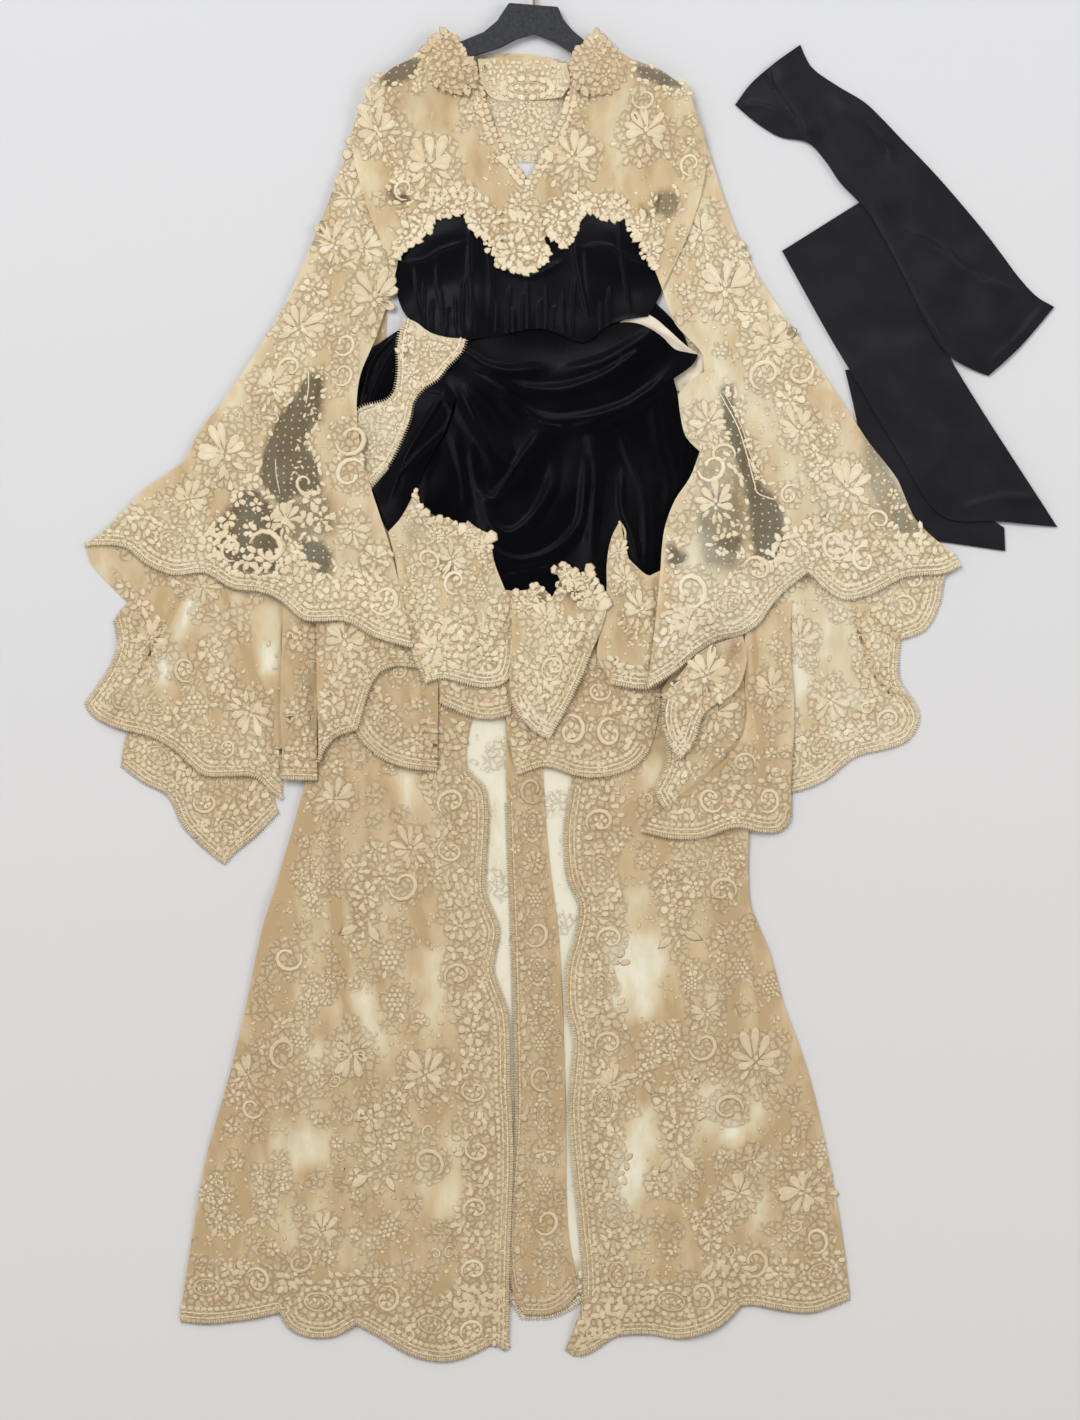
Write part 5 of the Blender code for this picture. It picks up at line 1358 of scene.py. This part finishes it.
lace_piece("skirt_right", 0.87, 0.32, skirt_right_work, waves=(0.06, 0.0012), patches=[
    ([(612, 945), (655, 940), (664, 960), (655, 1000), (630, 1022), (610, 1000)], 0.25),
    ([(612, 1140), (640, 1125), (650, 1140), (628, 1200), (610, 1215)], 0.35),
    ([(700, 985), (712, 980), (716, 1020), (706, 1040)], 0.45),
    ([(700, 1090), (722, 1080), (720, 1120), (704, 1130)], 0.45),
    ([(738, 1085), (758, 1080), (760, 1100), (742, 1108)], 0.45),
    ([(742, 880), (758, 900), (790, 1060), (830, 1180), (856, 1300), (826, 1300), (800, 1190), (764, 1060),
      (736, 930)], 1.05),
    ([(716, 1130), (752, 1100), (780, 1084), (778, 1104), (746, 1136), (720, 1150)], 0.35),
    ([(608, 948), (618, 932), (650, 930), (662, 944), (660, 1000), (646, 1016), (620, 1014), (608, 996)],
     0.2),
    ([(622, 890), (650, 886), (646, 924), (628, 926)], 0.4),
    ([(638, 762), (660, 758), (664, 788), (642, 790)], 0.25),
    ([(612, 1160), (636, 1152), (648, 1180), (634, 1220), (612, 1224)], 0.25),
    ([(634, 1110), (656, 1106), (652, 1140), (636, 1146)], 0.35),
    ([(748, 1196), (770, 1194), (766, 1228), (750, 1232)], 0.45),
    ([(560, 1276), (700, 1270), (860, 1252), (870, 1370), (560, 1370)], 1.12)], creases=[
    ([(722, 900), (730, 950), (734, 1010), (727, 1060)], 10, 10, -2.0),
    ([(750, 955), (758, 1000), (764, 1032)], 4, 4, -1.4),
    ([(790, 1122), (740, 1162), (700, 1182), (684, 1192)], 9, 9, -1.4),
    ([(610, 830), (612, 1000), (622, 1180), (630, 1320)], 12, 12, 2.4),
    ([(668, 860), (684, 1040), (696, 1180), (700, 1320)], 9, 14, 2.6),
    ([(722, 900), (750, 1060), (772, 1180), (790, 1300)], 14, 9, 2.4)])

# Satin skirt layer: wings under the sleeves, a side tab, a strap, the turned cream facing at
# the waist, and the front, which is draped across the hips in deep swags.
DRAPE_BLACK = satin_finish("draped_satin", (0.0016, 0.0014, 0.0021), 0.28, 0.11)
FACING_CREAM, tree, shader, place = new_material("cream_facing", Roughness=0.6, Specular_IOR_Level=0.3,
                                                 Sheen_Weight=0.2)
weave, slow = grain_of(tree, place, 500.0, 3.0), grain_of(tree, place, 45.0, 2.0)
finish_with(tree, shader, ramp_of(tree, slow, [(0.3, (0.70, 0.60, 0.44)), (0.7, (0.88, 0.80, 0.65))]),
            weave, 0.25, 0.0003)
satin_piece("satin_wing_left", DRAPE_BLACK, 0.005, waves=(0.06, 0.001))
satin_piece("satin_wing_right", DRAPE_BLACK, 0.005, waves=(0.06, 0.001))
satin_piece("satin_tab_left", DRAPE_BLACK, 0.003, creases=[
    ([(408, 330), (388, 358), (372, 392), (366, 420)], 6, 4, 3.0),
    ([(392, 338), (372, 362), (362, 400)], 4, 4, 2.0)])
satin_piece("satin_strap_right", DRAPE_BLACK, 0.003)
satin_piece("waist_facing_right", FACING_CREAM, 0.003, waves=(0.02, 0.0006), creases=[
    ([(640, 322), (668, 335), (698, 356)], 5, 5, 2.0),
    ([(702, 358), (699, 372), (684, 386)], 10, 6, 8.0)])
satin_piece("satin_drape", DRAPE_BLACK, 0.003, waves=(0.09, 0.0003), soften=7.0, creases=[
    (run, left * 1.4, right * 1.4, high * 1.3) for run, left, right, high in (
    ([(452, 347), (470, 356), (486, 366), (511, 371), (545, 366)], 5, 8, 1.6),
    ([(505, 377), (525, 389), (562, 390), (597, 379), (624, 363), (650, 341)], 6, 8, 2.0),
    ([(560, 372), (600, 362), (630, 346), (655, 330)], 6, 7, 1.4),
    ([(505, 392), (519, 404), (544, 419), (581, 419), (619, 409), (651, 390), (672, 368)], 6, 8, 2.2),
    ([(470, 372), (500, 392), (520, 415), (560, 428), (600, 420), (640, 402), (680, 372)], 5, 10, 2.0),
    ([(450, 382), (463, 414), (481, 443), (503, 476)], 5, 7, 1.6),
    ([(462, 384), (482, 430), (500, 459), (514, 468)], 4, 5, 1.3),
    ([(475, 395), (497, 425), (513, 456)], 4, 5, 1.0),
    ([(472, 440), (478, 484), (492, 499), (506, 483), (531, 444), (545, 425)], 5, 8, 1.9),
    ([(480, 490), (492, 523), (511, 533), (534, 515), (549, 488), (553, 460)], 5, 8, 1.9),
    ([(484, 530), (495, 551), (518, 561), (551, 552), (578, 525), (584, 490), (586, 455)], 5, 9, 2.1),
    ([(500, 580), (530, 572), (560, 566)], 5, 8, 1.2),
    ([(452, 430), (462, 470), (466, 510)], 5, 5, 1.2),
    ([(438, 445), (425, 480), (430, 512)], 5, 7, 1.2),
    ([(590, 426), (597, 468), (594, 510), (590, 560)], 6, 8, 1.8),
    ([(617, 418), (630, 456), (645, 497), (648, 537), (646, 572)], 5, 7, 1.8),
    ([(621, 470), (622, 508), (632, 535), (640, 565)], 4, 4, 1.4),
    ([(654, 392), (660, 441), (671, 481), (667, 523)], 6, 8, 1.6),
    ([(680, 380), (688, 430), (684, 470)], 6, 8, 1.4))], cord=[
    (619, 522), (625, 533), (624, 553), (636, 568), (649, 577), (661, 572), (664, 555), (665, 533),
    (672, 510), (680, 494)])
satin_piece("satin_tail_left", DRAPE_BLACK, 0.003, soften=5.0, creases=[
    ([(418, 392), (445, 400), (452, 422), (420, 455), (388, 484)], 4, 6, 1.5),
    ([(446, 392), (425, 425), (405, 460), (388, 505)], 4, 5, 1.2)])

# Bustier: black satin with two cups, seams from bust to waist, and gathers into the waist seam.
# Its creases are the ridges of those seams, the folds of the cups, and a row of short gathers.
satin_piece("bodice_front", BODICE_BLACK, 0.0028, soften=5.0, waves=(0.06, 0.0003), creases=[
    (run, left, right, high * 1.7) for run, left, right, high in (
    ([(400, 262), (422, 262), (442, 251), (468, 243)], 5, 1.6, 1.0),
    ([(583, 248), (607, 247), (624, 256), (652, 266)], 5, 1.6, 1.0),
    ([(471, 226), (471, 280), (474, 336)], 1.8, 6, 1.1),
    ([(487, 234), (492, 280), (489, 330)], 3, 6, 1.0),
    ([(573, 240), (578, 275), (588, 318)], 6, 1.8, 1.1),
    ([(586, 252), (588, 285), (594, 318)], 1.8, 4, 0.7),
    ([(618, 222), (621, 252), (630, 312)], 4, 2, 0.9),
    ([(416, 266), (420, 300), (428, 326)], 2, 4, 0.8),
    ([(438, 260), (438, 285), (442, 312)], 4, 4, 0.6),
    ([(505, 268), (530, 276), (562, 262)], 5, 5, 1.0),
    *[([(across + 3 * (k % 2), 280 + 7 * (k * 3 % 5)), (across + 1, 312), (across + k % 3, 335)],
       1.6 + 0.5 * (k % 3), 2.2, 0.5 + 0.3 * (k * 2 % 4))
      for k, across in enumerate((424, 431, 441, 446, 455, 461, 496, 507, 512, 521, 527, 538, 546, 551,
                                  562, 572, 600, 607))])])

# Lace of the hips: a strip down the left side, and a peplum in tiers whose lower ones lie first.
# All are the skirt's net and cotton, sewn in at the waist, with worked edges at their hems.
hip_strip_work = [
    ("border", ((404, 318), (368, 488), (395, 392), 10), ((466, 340), (368, 488), (425, 388), 10)),
    ("curl", (380, 412, 18, 20)),
    ("rose", (430, 350, 18), (412, 376, 18), (396, 428, 18), (376, 446, 18), (378, 468, 14), (446, 346, 14),
     (408, 344, 16)),
    ("ground", (11, 1.0, 4))]
lace_piece("hip_strip", 0.55, 0.68, hip_strip_work, windows=[
    [(400, 348), (410, 346), (411, 356), (402, 357)]])
lace_piece("peplum_left_under", 0.86, 0.34, hem_work((437, 771), (355, 729), (390, 762), 46), creases=[
    ([(423, 688), (424, 728), (424, 768)], 4, 4, -2.0), ([(430, 690), (431, 768)], 5, 5, 2.0)])
lace_piece("peplum_left_strip", 0.86, 0.34, hem_work((319, 780), (285, 779), (300, 779), 40), moves=[
    ((286, 700), (282, 700), 150)], creases=[
    ([(309, 612), (310, 690), (312, 772)], 5, 5, -2.0), ([(296, 612), (297, 772)], 7, 7, 2.6)])
lace_piece("peplum_centre_under", 0.82, 0.42, hem_work((650, 748), (517, 775), (600, 777), 62, [
    (625, 645, 34, 90), (585, 660, 26, 100)], amount=0.6), creases=[
    ([(646, 650), (650, 700), (640, 745)], 6, 6, -1.8), ([(560, 720), (566, 745), (572, 768)], 10, 10, 2.0),
    ([(524, 700), (530, 735), (528, 768)], 4, 4, -1.8)])
lace_piece("peplum_left", 0.82, 0.42, hem_work((420, 668), (319, 763), (368, 695), 50, [
    (345, 640, 44, 80)]), creases=[
    ([(372, 620), (378, 650), (396, 664)], 5, 5, -1.8), ([(340, 640), (338, 700), (330, 738)], 9, 9, 2.4)])
lace_piece("peplum_second_hem", 0.8, 0.45, hem_work((511, 714), (440, 703), (490, 719), 28))
peplum_centre_left_work = [
    ("border", ((517, 640), (411, 648), (480, 687), 46)),
    ("flower_edge", ((414, 498), (494, 545), (450, 519))),
    ("curl", (428, 560, 28, 150, True), (455, 582, 30, 60)),
    ("lily", (452, 560, 30, 60)),
    ("rose", (460, 622, 34)),
    ("lily", (436, 650, 36, 200)),
    ("clusters", (30, 26, 12)),
    ("ground", (13, 1.0, 5))]
lace_piece("peplum_centre_left", 0.66, 0.6, peplum_centre_left_work, windows=[
    [(436, 556), (452, 562), (464, 572), (452, 580), (438, 572)]], half=[
    [(403, 528), (420, 520), (424, 540), (406, 552)]], creases=[
    ([(404, 556), (412, 616), (424, 674)], 5, 5, -1.6), ([(468, 600), (470, 640), (474, 684)], 9, 9, 2.2)])
lace_piece("peplum_right", 0.74, 0.6, hem_work((672, 673), (612, 684), (647, 688), 30, [
    (640, 612, 34, 80), (618, 552, 20, 60), (624, 580, 24, 100)], amount=0.7), half=[
    [(608, 596), (622, 590), (628, 604), (612, 612)]], creases=[
    ([(654, 580), (656, 630), (648, 684)], 5, 5, -2.0), ([(616, 600), (620, 640), (622, 680)], 7, 7, 2.0)])
peplum_centre_work = [
    ("border", ((590, 655), (511, 700), (549, 739), 44)),
    ("flower_edge", ((512, 590), (604, 606), (560, 578))),
    ("medallion", (552, 668, 44, 70, 0.72)),
    ("lily", (545, 620, 30, 90)),
    ("clusters", (28, 24, 12)),
    ("ground", (13, 1.0, 5))]
lace_piece("peplum_centre", 0.7, 0.6, peplum_centre_work, creases=[
    ([(545, 620), (540, 670), (536, 720)], 8, 8, 2.0), ([(592, 610), (580, 650), (562, 696)], 5, 5, -1.6)],
    windows=[
    [(530, 592), (545, 588), (552, 600), (540, 606)], [(562, 590), (576, 584), (586, 596), (574, 608)]])

# Sleeves: wide lace fronts over their backs, with handkerchief hems. The right sleeve's hem is
# folded under and turned back over itself in a cascade and a ruffle.
sleeve_left_work = [
    ("border", ((84, 546), (413, 648), (205, 573), 50)),
    ("lily", (226, 455, 50, 120), (375, 300, 52, 80), (335, 245, 40, 110), (300, 330, 44, 70),
     (272, 388, 36, 60), (190, 500, 36, 60), (352, 200, 36, 120), (365, 250, 34, 40), (285, 520, 32, 60)),
    ("rose", (322, 520, 30), (215, 545, 34), (375, 560, 32), (315, 290, 30), (362, 150, 40),
     (345, 175, 26)),
    ("curl", (352, 440, 40, 60, True), (350, 474, 38, 240, True), (290, 368, 30, 20),
     (345, 345, 28, 80, True), (343, 375, 28, 80, True), (268, 548, 44, 300), (385, 600, 38, 80, True),
     (305, 484, 24, 100)),
    ("sprig", (303, 392, 22, 300), (303, 410, 20, 330), (316, 440, 22, 200), (304, 458, 18, 240),
     (318, 380, 14, 60)),
    ("blossom", (312, 500, 22), (306, 520, 20), (252, 482, 20), (272, 522, 18), (228, 520, 20),
     (238, 500, 18), (257, 506, 15), (250, 530, 17), (232, 543, 18), (284, 566, 17), (248, 562, 18),
     (222, 530, 14), (262, 574, 16), (296, 548, 16)),
    ("thread", ([(309, 372), (309, 388), (307, 402)], 1.2),
     ([(276, 462), (277, 476), (280, 492)], 1.0, 0.1)),
    ("clusters", (64, 36)),
    ("ground", (17, 0.55))]
lace_piece("sleeve_left_front", 0.68, 0.58, sleeve_left_work, waves=(0.06, 0.0012), windows=[
    [(309, 371), (328, 375), (325, 388), (322, 424), (313, 430), (308, 446), (318, 458), (322, 470),
     (324, 496), (302, 496), (290, 502), (286, 520), (277, 507), (262, 486), (258, 474), (262, 452),
     (272, 425), (286, 405), (298, 388)],
    [(300, 536), (325, 542), (334, 555), (334, 578), (323, 580), (311, 571), (299, 553)],
    [(243, 486), (262, 490), (276, 510), (288, 530), (284, 548), (288, 572), (262, 580), (236, 572),
     (218, 556), (208, 534), (226, 510)],
    [(390, 536), (396, 536), (399, 564), (393, 562)],
    [(383, 182), (396, 180), (400, 206), (386, 204)]], half=[
    [(286, 500), (332, 494), (338, 532), (302, 546), (286, 542)]], creases=[
    ([(368, 190), (335, 300), (290, 420), (258, 500)], 12, 12, 2.0),
    ([(383, 260), (358, 360), (340, 470), (345, 600)], 9, 12, 2.4),
    ([(345, 210), (300, 300), (240, 400), (190, 520)], 10, 12, 1.8)])
lace_piece("sleeve_right_fold", 0.86, 0.55, hem_work((665, 810), (664, 720), (668, 760), 26, [
    (715, 712, 44, 80)]), creases=[([(740, 660), (728, 700), (700, 730)], 6, 6, -2.0)])
lace_piece("sleeve_right_cascade", 0.84, 0.42, hem_work((640, 831), (789, 815), (735, 827), 50, [
    (770, 690, 34, 90)], amount=0.6), moves=[((751, 655), (743, 655), 80)], creases=[
    ([(754, 630), (756, 700), (762, 746), (765, 782)], 5, 5, -2.4),
    ([(772, 630), (774, 700), (778, 790)], 7, 7, 2.6), ([(742, 746), (700, 784), (665, 812)], 5, 5, -1.6)])
sleeve_right_work = [
    ("border", ((961, 565), (647, 688), (808, 572), 52)),
    ("lily", (725, 290, 52, 80), (770, 345, 46, 60), (846, 490, 50, 90), (700, 235, 40, 100),
     (800, 430, 36, 120), (708, 424, 34, 100), (715, 505, 40, 90), (690, 620, 34, 200)),
    ("rose", (752, 315, 34), (735, 255, 30), (790, 400, 32), (775, 560, 30), (850, 545, 36), (905, 555, 30),
     (820, 470, 26)),
    ("curl", (712, 468, 36, 60, True), (722, 455, 30, 200, True), (765, 375, 40, 30), (800, 372, 34, 200),
     (835, 545, 36, 90), (690, 590, 44, 120, True), (878, 520, 26, 330)),
    ("thread", ([(720, 395), (736, 424), (745, 450), (754, 484), (758, 494), (774, 500)], 1.3),
     ([(724, 393), (740, 424), (749, 452), (757, 480)], 1.0, 0.1)),
    ("clusters", (64, 36)),
    ("ground", (17, 0.55))]
lace_piece("sleeve_right_front", 0.54, 0.68, sleeve_right_work, waves=(0.06, 0.0012), windows=[
    [(719, 388), (725, 384), (735, 400), (744, 430), (754, 461), (763, 483), (776, 498), (786, 518),
     (785, 558), (767, 570), (754, 566), (749, 536), (746, 503), (737, 472), (728, 452), (721, 430)],
    [(893, 509), (904, 507), (926, 533), (902, 537), (889, 526)],
    [(706, 540), (740, 532), (745, 540), (738, 556), (712, 550)],
    [(664, 540), (674, 544), (688, 556), (684, 574), (668, 568)],
    [(725, 380), (733, 384), (738, 398), (728, 398)],
    [(655, 190), (668, 186), (683, 192), (686, 206), (672, 224), (652, 214)]], half=[
    [(702, 462), (724, 436), (742, 480), (748, 530), (738, 572), (702, 568), (694, 520)],
    [(860, 426), (872, 436), (884, 452), (900, 484), (914, 508), (928, 532), (920, 545), (896, 538),
     (876, 528), (868, 505), (862, 470)]], creases=[
    ([(700, 200), (735, 330), (800, 450), (860, 560)], 12, 12, 2.0),
    ([(682, 260), (712, 380), (745, 480), (790, 568)], 9, 12, 2.4),
    ([(722, 230), (795, 360), (868, 475), (905, 550)], 12, 10, 1.6)])
lace_piece("sleeve_right_ruffle", 0.8, 0.6, hem_work((665, 700), (705, 712), (680, 759), 30, [
    (705, 676, 44, 75)]), half=[[(694, 650), (740, 637), (746, 654), (738, 662), (704, 660)]], creases=[
    ([(735, 645), (722, 676), (696, 700), (674, 712)], 5, 5, -2.2),
    ([(690, 668), (676, 690), (670, 720)], 8, 8, 2.4)])

# Yoke: one lace front over both sleeve heads, open in a narrow V, with collar pieces of thick
# corded flowers, and the same flowers along its lower edge over the bustier.
yoke_work = [
    ("lily", (430, 165, 50, 90), (572, 158, 46, 80), (520, 130, 30, 60), (378, 132, 44, 120),
     (645, 134, 46, 80), (372, 108, 34, 100)),
    ("rose", (474, 112, 22), (512, 158, 24), (540, 150, 24), (462, 196, 30), (610, 205, 28), (520, 205, 24),
     (405, 172, 24), (436, 200, 26), (575, 200, 26), (590, 92, 22)),
    ("curl", (644, 100, 28, 30, True), (404, 190, 26, 60), (690, 165, 28, 60)),
    ("petal_edge", ((470, 62), (528, 184), (490, 120)), ((572, 72), (528, 184), (560, 125))),
    ("clusters", (46, 26, 10)),
    ("ground", (14, 0.6, 4))]
lace_piece("yoke_front", 0.74, 0.56, yoke_work, waves=(0.04, 0.0008), moves=[
    ((650, 72), (653, 67), 30), ((680, 88), (687, 82), 26), ((377, 80), (374, 78), 20)], bare=[
    [(396, 98), (450, 90), (462, 125), (482, 134), (484, 182), (450, 184), (446, 150), (404, 150),
     (390, 125)],
    [(584, 96), (612, 100), (627, 113), (627, 150), (655, 160), (700, 164), (700, 194), (614, 190),
     (600, 172)],
    [(655, 165), (690, 180), (690, 230), (660, 225)], [(366, 205), (384, 210), (396, 240), (384, 250)],
    [(334, 151), (383, 155), (383, 200), (340, 207)], [(486, 187), (506, 187), (504, 233), (488, 230)],
    [(537, 172), (552, 174), (550, 207), (538, 207)]], windows=[
    [(374, 86), (384, 70), (400, 60), (420, 54), (422, 68), (410, 82), (392, 90)],
    [(630, 60), (652, 66), (686, 80), (690, 94), (664, 90), (636, 80)],
    [(385, 188), (396, 183), (398, 194), (411, 194), (412, 204), (398, 206), (386, 200)],
    [(652, 196), (665, 189), (678, 192), (684, 206), (670, 224), (652, 212)],
    [(641, 206), (649, 210), (655, 228), (652, 244), (643, 230)]])
THICK = {"slot": "thick_lace", "spacing": 0.004, "drop": 0.004}
for node, lining, tone, start, end, via, flowers in (
        ("yoke_flowers_left", 0.8, 0.66, (392, 265), (497, 266), (433, 220), [
            (404, 242, 22), (422, 226, 24), (444, 208, 22), (466, 206, 20), (480, 224, 22),
            (494, 246, 20)]),
        ("yoke_flowers_centre", 0.8, 0.7, (502, 262), (548, 250), (520, 272), [
            (514, 252, 34), (540, 254, 20), (522, 226, 24)]),
        ("yoke_flowers_right", 0.8, 0.68, (548, 233), (655, 272), (578, 225), [
            (556, 220, 22), (562, 238, 14), (578, 206, 22), (600, 207, 22), (620, 210, 22), (638, 228, 22),
            (650, 252, 20)]),
        ("collar_left", 0.9, 0.28, (425, 51), (478, 72), (445, 31), [
            (442, 52, 20), (460, 70, 22), (438, 74, 20)]),
        ("collar_right", 0.9, 0.28, (615, 51), (571, 72), (596, 33), [
            (596, 52, 20), (584, 74, 22), (606, 76, 20)])):
    lace_piece(node, lining, tone, [("guipure", (start, end, via, flowers))], **THICK)
lace_piece("collar_back", 0.6, 0.66, [
    ("medallion", (527, 88, 60, 0, 0.32)), ("seeded_rim", (2, 6.0, 0.42))], **THICK)
